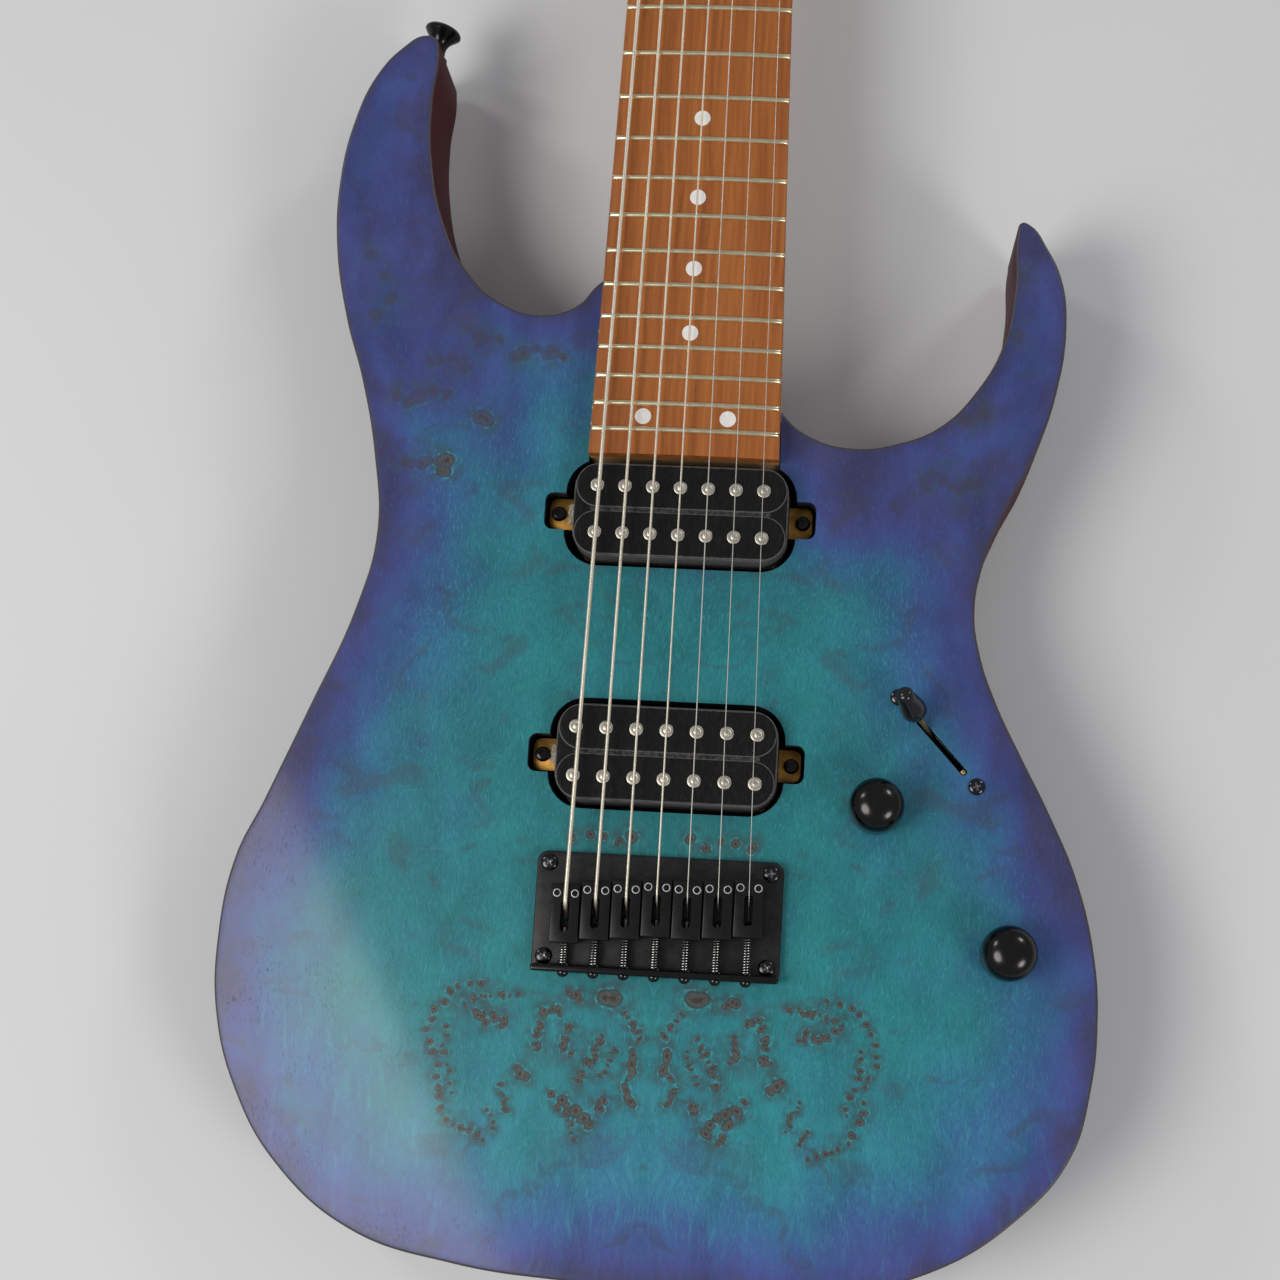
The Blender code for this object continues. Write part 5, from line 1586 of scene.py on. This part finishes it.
def make_knob(name):
    """A domed knob with a flat top and a thin foot, over its nut."""
    low, high = span(name + "_knob")
    spot = (low + high) / 2
    radius = (high.x - low.x) / 2
    foot = 47.4
    shoulder = foot + 8.4
    profile = [(0, high.z)]
    for step in range(3, 18):
        share = math.sin(math.radians(5 * step))
        profile.append((radius * share, shoulder + (high.z - shoulder) * (1 - share ** 2.3) ** 0.44))
    profile += [(radius, foot + 1.4), (radius - 0.12, foot + 0.5), (radius - 0.5, foot), (3.0, foot),
        (3.0, 31), (0, 31)]
    body = name + "_knob"
    piece(name + "_cap", turned(profile, 72), KNOB_METAL, body, at(spot.x, spot.y),
        (body,))
    nut = turned([(3.4, 46.8), (5.4, 46.8), (6.4, 46.3), (6.4, 44.9), (7.0, 44.8), (7.0, 44.05),
        (3.4, 44.05)], 6)
    piece(name + "_nut", nut, BLACK_METAL, place=at(spot.x, spot.y))


def make_switch():
    """The blade switch: its lever and tip, the rails and the stop in its slot, and its two screws."""
    pivot, turn = switch_place()
    throw = math.radians(JOINTS["switch_throw"]["range_deg"][1]) / 2
    place = Matrix.Translation(pivot) @ Euler((0, -throw, turn)).to_matrix().to_4x4()
    lever = block((-2.6, -0.6, -4), (2.6, 0.6, 20.4), 0.25, 2)
    piece("switch_blade", lever, BLADE_METAL, "switch_lever", place, ("switch_lever",))
    profile = [(0, 34.2)]
    for height, radius in (
        (34.15, 0.9), (33.9, 1.9), (33.3, 2.65), (32.4, 3.1), (30.4, 3.3), (28.6, 3.6), (26.6, 4.02),
        (24.8, 4.42),
        (23.6, 4.56), (22.4, 4.52), (21.2, 4.2), (20.3, 3.6), (19.7, 2.9), (19.4, 2.2),
    ):
        profile.append((radius, height))
    profile.append((0, 19.4))
    piece("switch_cap", turned(profile, 40), GLOSS_PLASTIC, "switch_lever", place,
        ("switch_tip",))
    along = Matrix.Translation((pivot.x, pivot.y, 0)) @ Matrix.Rotation(turn, 4, "Z")
    for number, across in enumerate((0.98, -0.98)):
        rail = block((-2, across - 0.14, 40.9), (13.2, across + 0.14, 42.9), 0.1, 2)
        piece(f"switch_rail_{number + 1}", rail, KNOB_METAL, place=along)
    stop = block((12.9, -0.8, 41.2), (14.6, 0.8, 43.5), 0.3, 3)
    piece("switch_stop", stop, BRASS, place=along)
    for number, reach in enumerate((SWITCH_SCREW_REACH, -SWITCH_SCREW_REACH)):
        spot = pivot + Vector((math.cos(turn) * reach, math.sin(turn) * reach, 0))
        screw(SCREW_LARGE, f"switch_screw_{number + 1}", at(spot.x, spot.y, BODY_TOP - 0.05, 0.3))


def make_jack():
    """The jack's plate in the side, its socket and two screws."""
    wide, tall = 10.0, 15.0
    plate = slab(rounded_rectangle(2 * wide, 2 * tall, 1.2, steps=4), -2.6, -0.8, 0.45, 3)
    made = new_object("jack_plate", moved(plate, jack_matrix()), [BLACK_METAL])
    mouth = turned([(0, 5), (4.6, 5), (4.6, -10), (0, -10)], 32)
    carve(made, [(moved(mouth, jack_matrix()), SHIELD)])
    settle(made, replaces=("output_jack",))
    nut = turned([(3.3, -0.3), (4.9, -0.3), (5.7, -0.7), (5.7, -1.4), (4.5, -1.4), (4.5, -20), (3.3, -20)],
        36)
    piece("jack_socket", nut, POT_METAL, place=jack_matrix())
    for number, side in enumerate((-1, 1)):
        place = jack_matrix() @ at(0, side * 11.2, -0.85)
        screw(SCREW_SMALL, f"jack_screw_{number + 1}", place)


def make_strap_button(name, x, y, direction):
    """A strap button: a flared head on a waist, with a washer and a screw."""
    place = Matrix.Translation((x, y, 22.0)) @ Euler((0, math.pi / 2, direction)).to_matrix().to_4x4()
    profile = [(0, 12.6), (2.6, 12.6), (2.9, 13.3), (5.0, 13.1), (6.4, 12.6), (7.1, 11.7), (7.15, 10.9),
        (6.4, 9.9), (5.2, 8.7)]
    profile += [(4.1, 7.3), (3.5, 5.6), (3.5, 3.6), (4.0, 2.0), (5.3, 0.9), (5.4, 0.3), (0, 0.3)]
    piece(name + "_knob", turned(profile, 40), BLACK_METAL, place=place, replaces=(name,))
    screw(SCREW_SMALL, name + "_screw", place @ at(0, 0, 12.3))


# ---------------------------------------------------------------- back


def make_back():
    """The control cover, the neck plate and the ferrules, with their screws."""
    cover = smooth_outline(outset(CAVITY_OUTLINE, COVER_MARGIN - 0.3), 8)
    flip = Matrix.Rotation(math.pi, 4, "X")
    mirrored = [(x, -y) for x, y in cover]
    piece("cavity_cover", moved(slab(mirrored, -2.4, -0.05, 0.4, 3), flip), BLACK_PLASTIC,
          replaces=("control_cover",))
    for number, (x, y) in enumerate(COVER_SCREWS):
        screw(SCREW_SMALL, f"cover_screw_{number + 1}", at(x, y, 0.85, number) @ flip)
    refined("neck_plate", "bolt_plate", BLACK_METAL, 0.4)
    low, high = span("neck_plate")
    corners = [(x, y) for y in (low.y + 6, high.y - 6) for x in (low.x + 6, high.x - 6)]
    for number, (x, y) in enumerate(corners):
        screw(SCREW_LARGE, f"neck_bolt_{number + 1}", at(x, y, 1.45, 0.5 * number) @ flip)
    refined("string_ferrule_strip", "ferrule_strip", BLACK_METAL, 0.3)
    for index in range(STRING_COUNT):
        x = middle(f"saddle_{index + 1}").x
        ferrule = turned([(1.9, 0.0), (2.2, 0.0), (3.3, 0.05), (3.6, 0.35), (3.6, 0.8), (1.9, 0.8)], 28)
        piece(f"ferrule_{index + 1}", ferrule, POT_METAL,
            place=at(x, STRING_HOLE_Y, 0.02))


BLADE_METAL = metal_look("dark_gold_lever", (0.30, 0.20, 0.08), 0.25)
BRASS = metal_look("slot_brass", (0.62, 0.46, 0.22), 0.40)


def dress_cad_nodes():
    """Give the CAD nodes that still show a procedural finish."""
    looks = {"truss_rod": SPRING_METAL, "volume_pot": POT_METAL, "tone_pot": POT_METAL,
        "switch_frame": POT_METAL}
    for name, look in looks.items():
        materials = frame["nodes"][name].data.materials
        materials.clear()
        materials.append(look)


# ---------------------------------------------------------------- studio


def make_studio():
    """A pale floor under the guitar, soft lights round it, and a dim pale surround."""
    low = CAD_BOX[0][2] / MM
    floor = new_object("studio_floor", slab(rounded_rectangle(9000, 9000, 40), low - 6.0, low - 1.0),
        [floor_look()])
    world = bpy.data.worlds.new("studio")
    bpy.context.scene.world = world
    world.use_nodes = True
    world.node_tree.nodes["Background"].inputs["Color"].default_value = (0.86, 0.90, 1.0, 1.0)
    world.node_tree.nodes["Background"].inputs["Strength"].default_value = 0.30
    for name, direction, distance, size, power in LIGHTS:
        lamp = bpy.data.lights.new(name, "AREA")
        lamp.shape = "DISK"
        lamp.size = size * MM
        lamp.energy = power
        lamp.color = (1.0, 0.98, 0.95)
        holder = bpy.data.objects.new(name, lamp)
        bpy.context.scene.collection.objects.link(holder)
        away = Vector(direction).normalized()
        holder.location = (LIGHT_AIM + away * distance) * MM
        holder.rotation_euler = away.to_track_quat("Z", "Y").to_euler()


def make_camera():
    """The camera at the photograph's viewing angle."""
    lens = bpy.data.cameras.new("photo_view")
    lens.sensor_width = 36.0
    lens.lens = CAMERA_LENS
    lens.clip_start = 0.01
    camera = bpy.data.objects.new("photo_view", lens)
    bpy.context.scene.collection.objects.link(camera)
    camera.location = CAMERA_PLACE
    camera.rotation_euler = [math.radians(angle) for angle in CAMERA_TURN]
    bpy.context.scene.camera = camera


def build():
    """Make everything."""
    make_camera()
    make_studio()
    make_body()
    make_neck()
    make_fretboard()
    make_nut_and_cover()
    for number in range(1, STRING_COUNT + 1):
        make_tuner(number)
    make_strings()
    make_pickup("neck_pickup")
    make_pickup("bridge_pickup")
    make_bridge()
    make_knob("volume")
    make_knob("tone")
    make_switch()
    make_jack()
    for end, spot in STRAP_BUTTONS.items():
        make_strap_button("strap_button_" + end, *spot)
    make_back()
    dress_cad_nodes()
    bpy.context.scene.view_settings.view_transform = "Standard"


build()
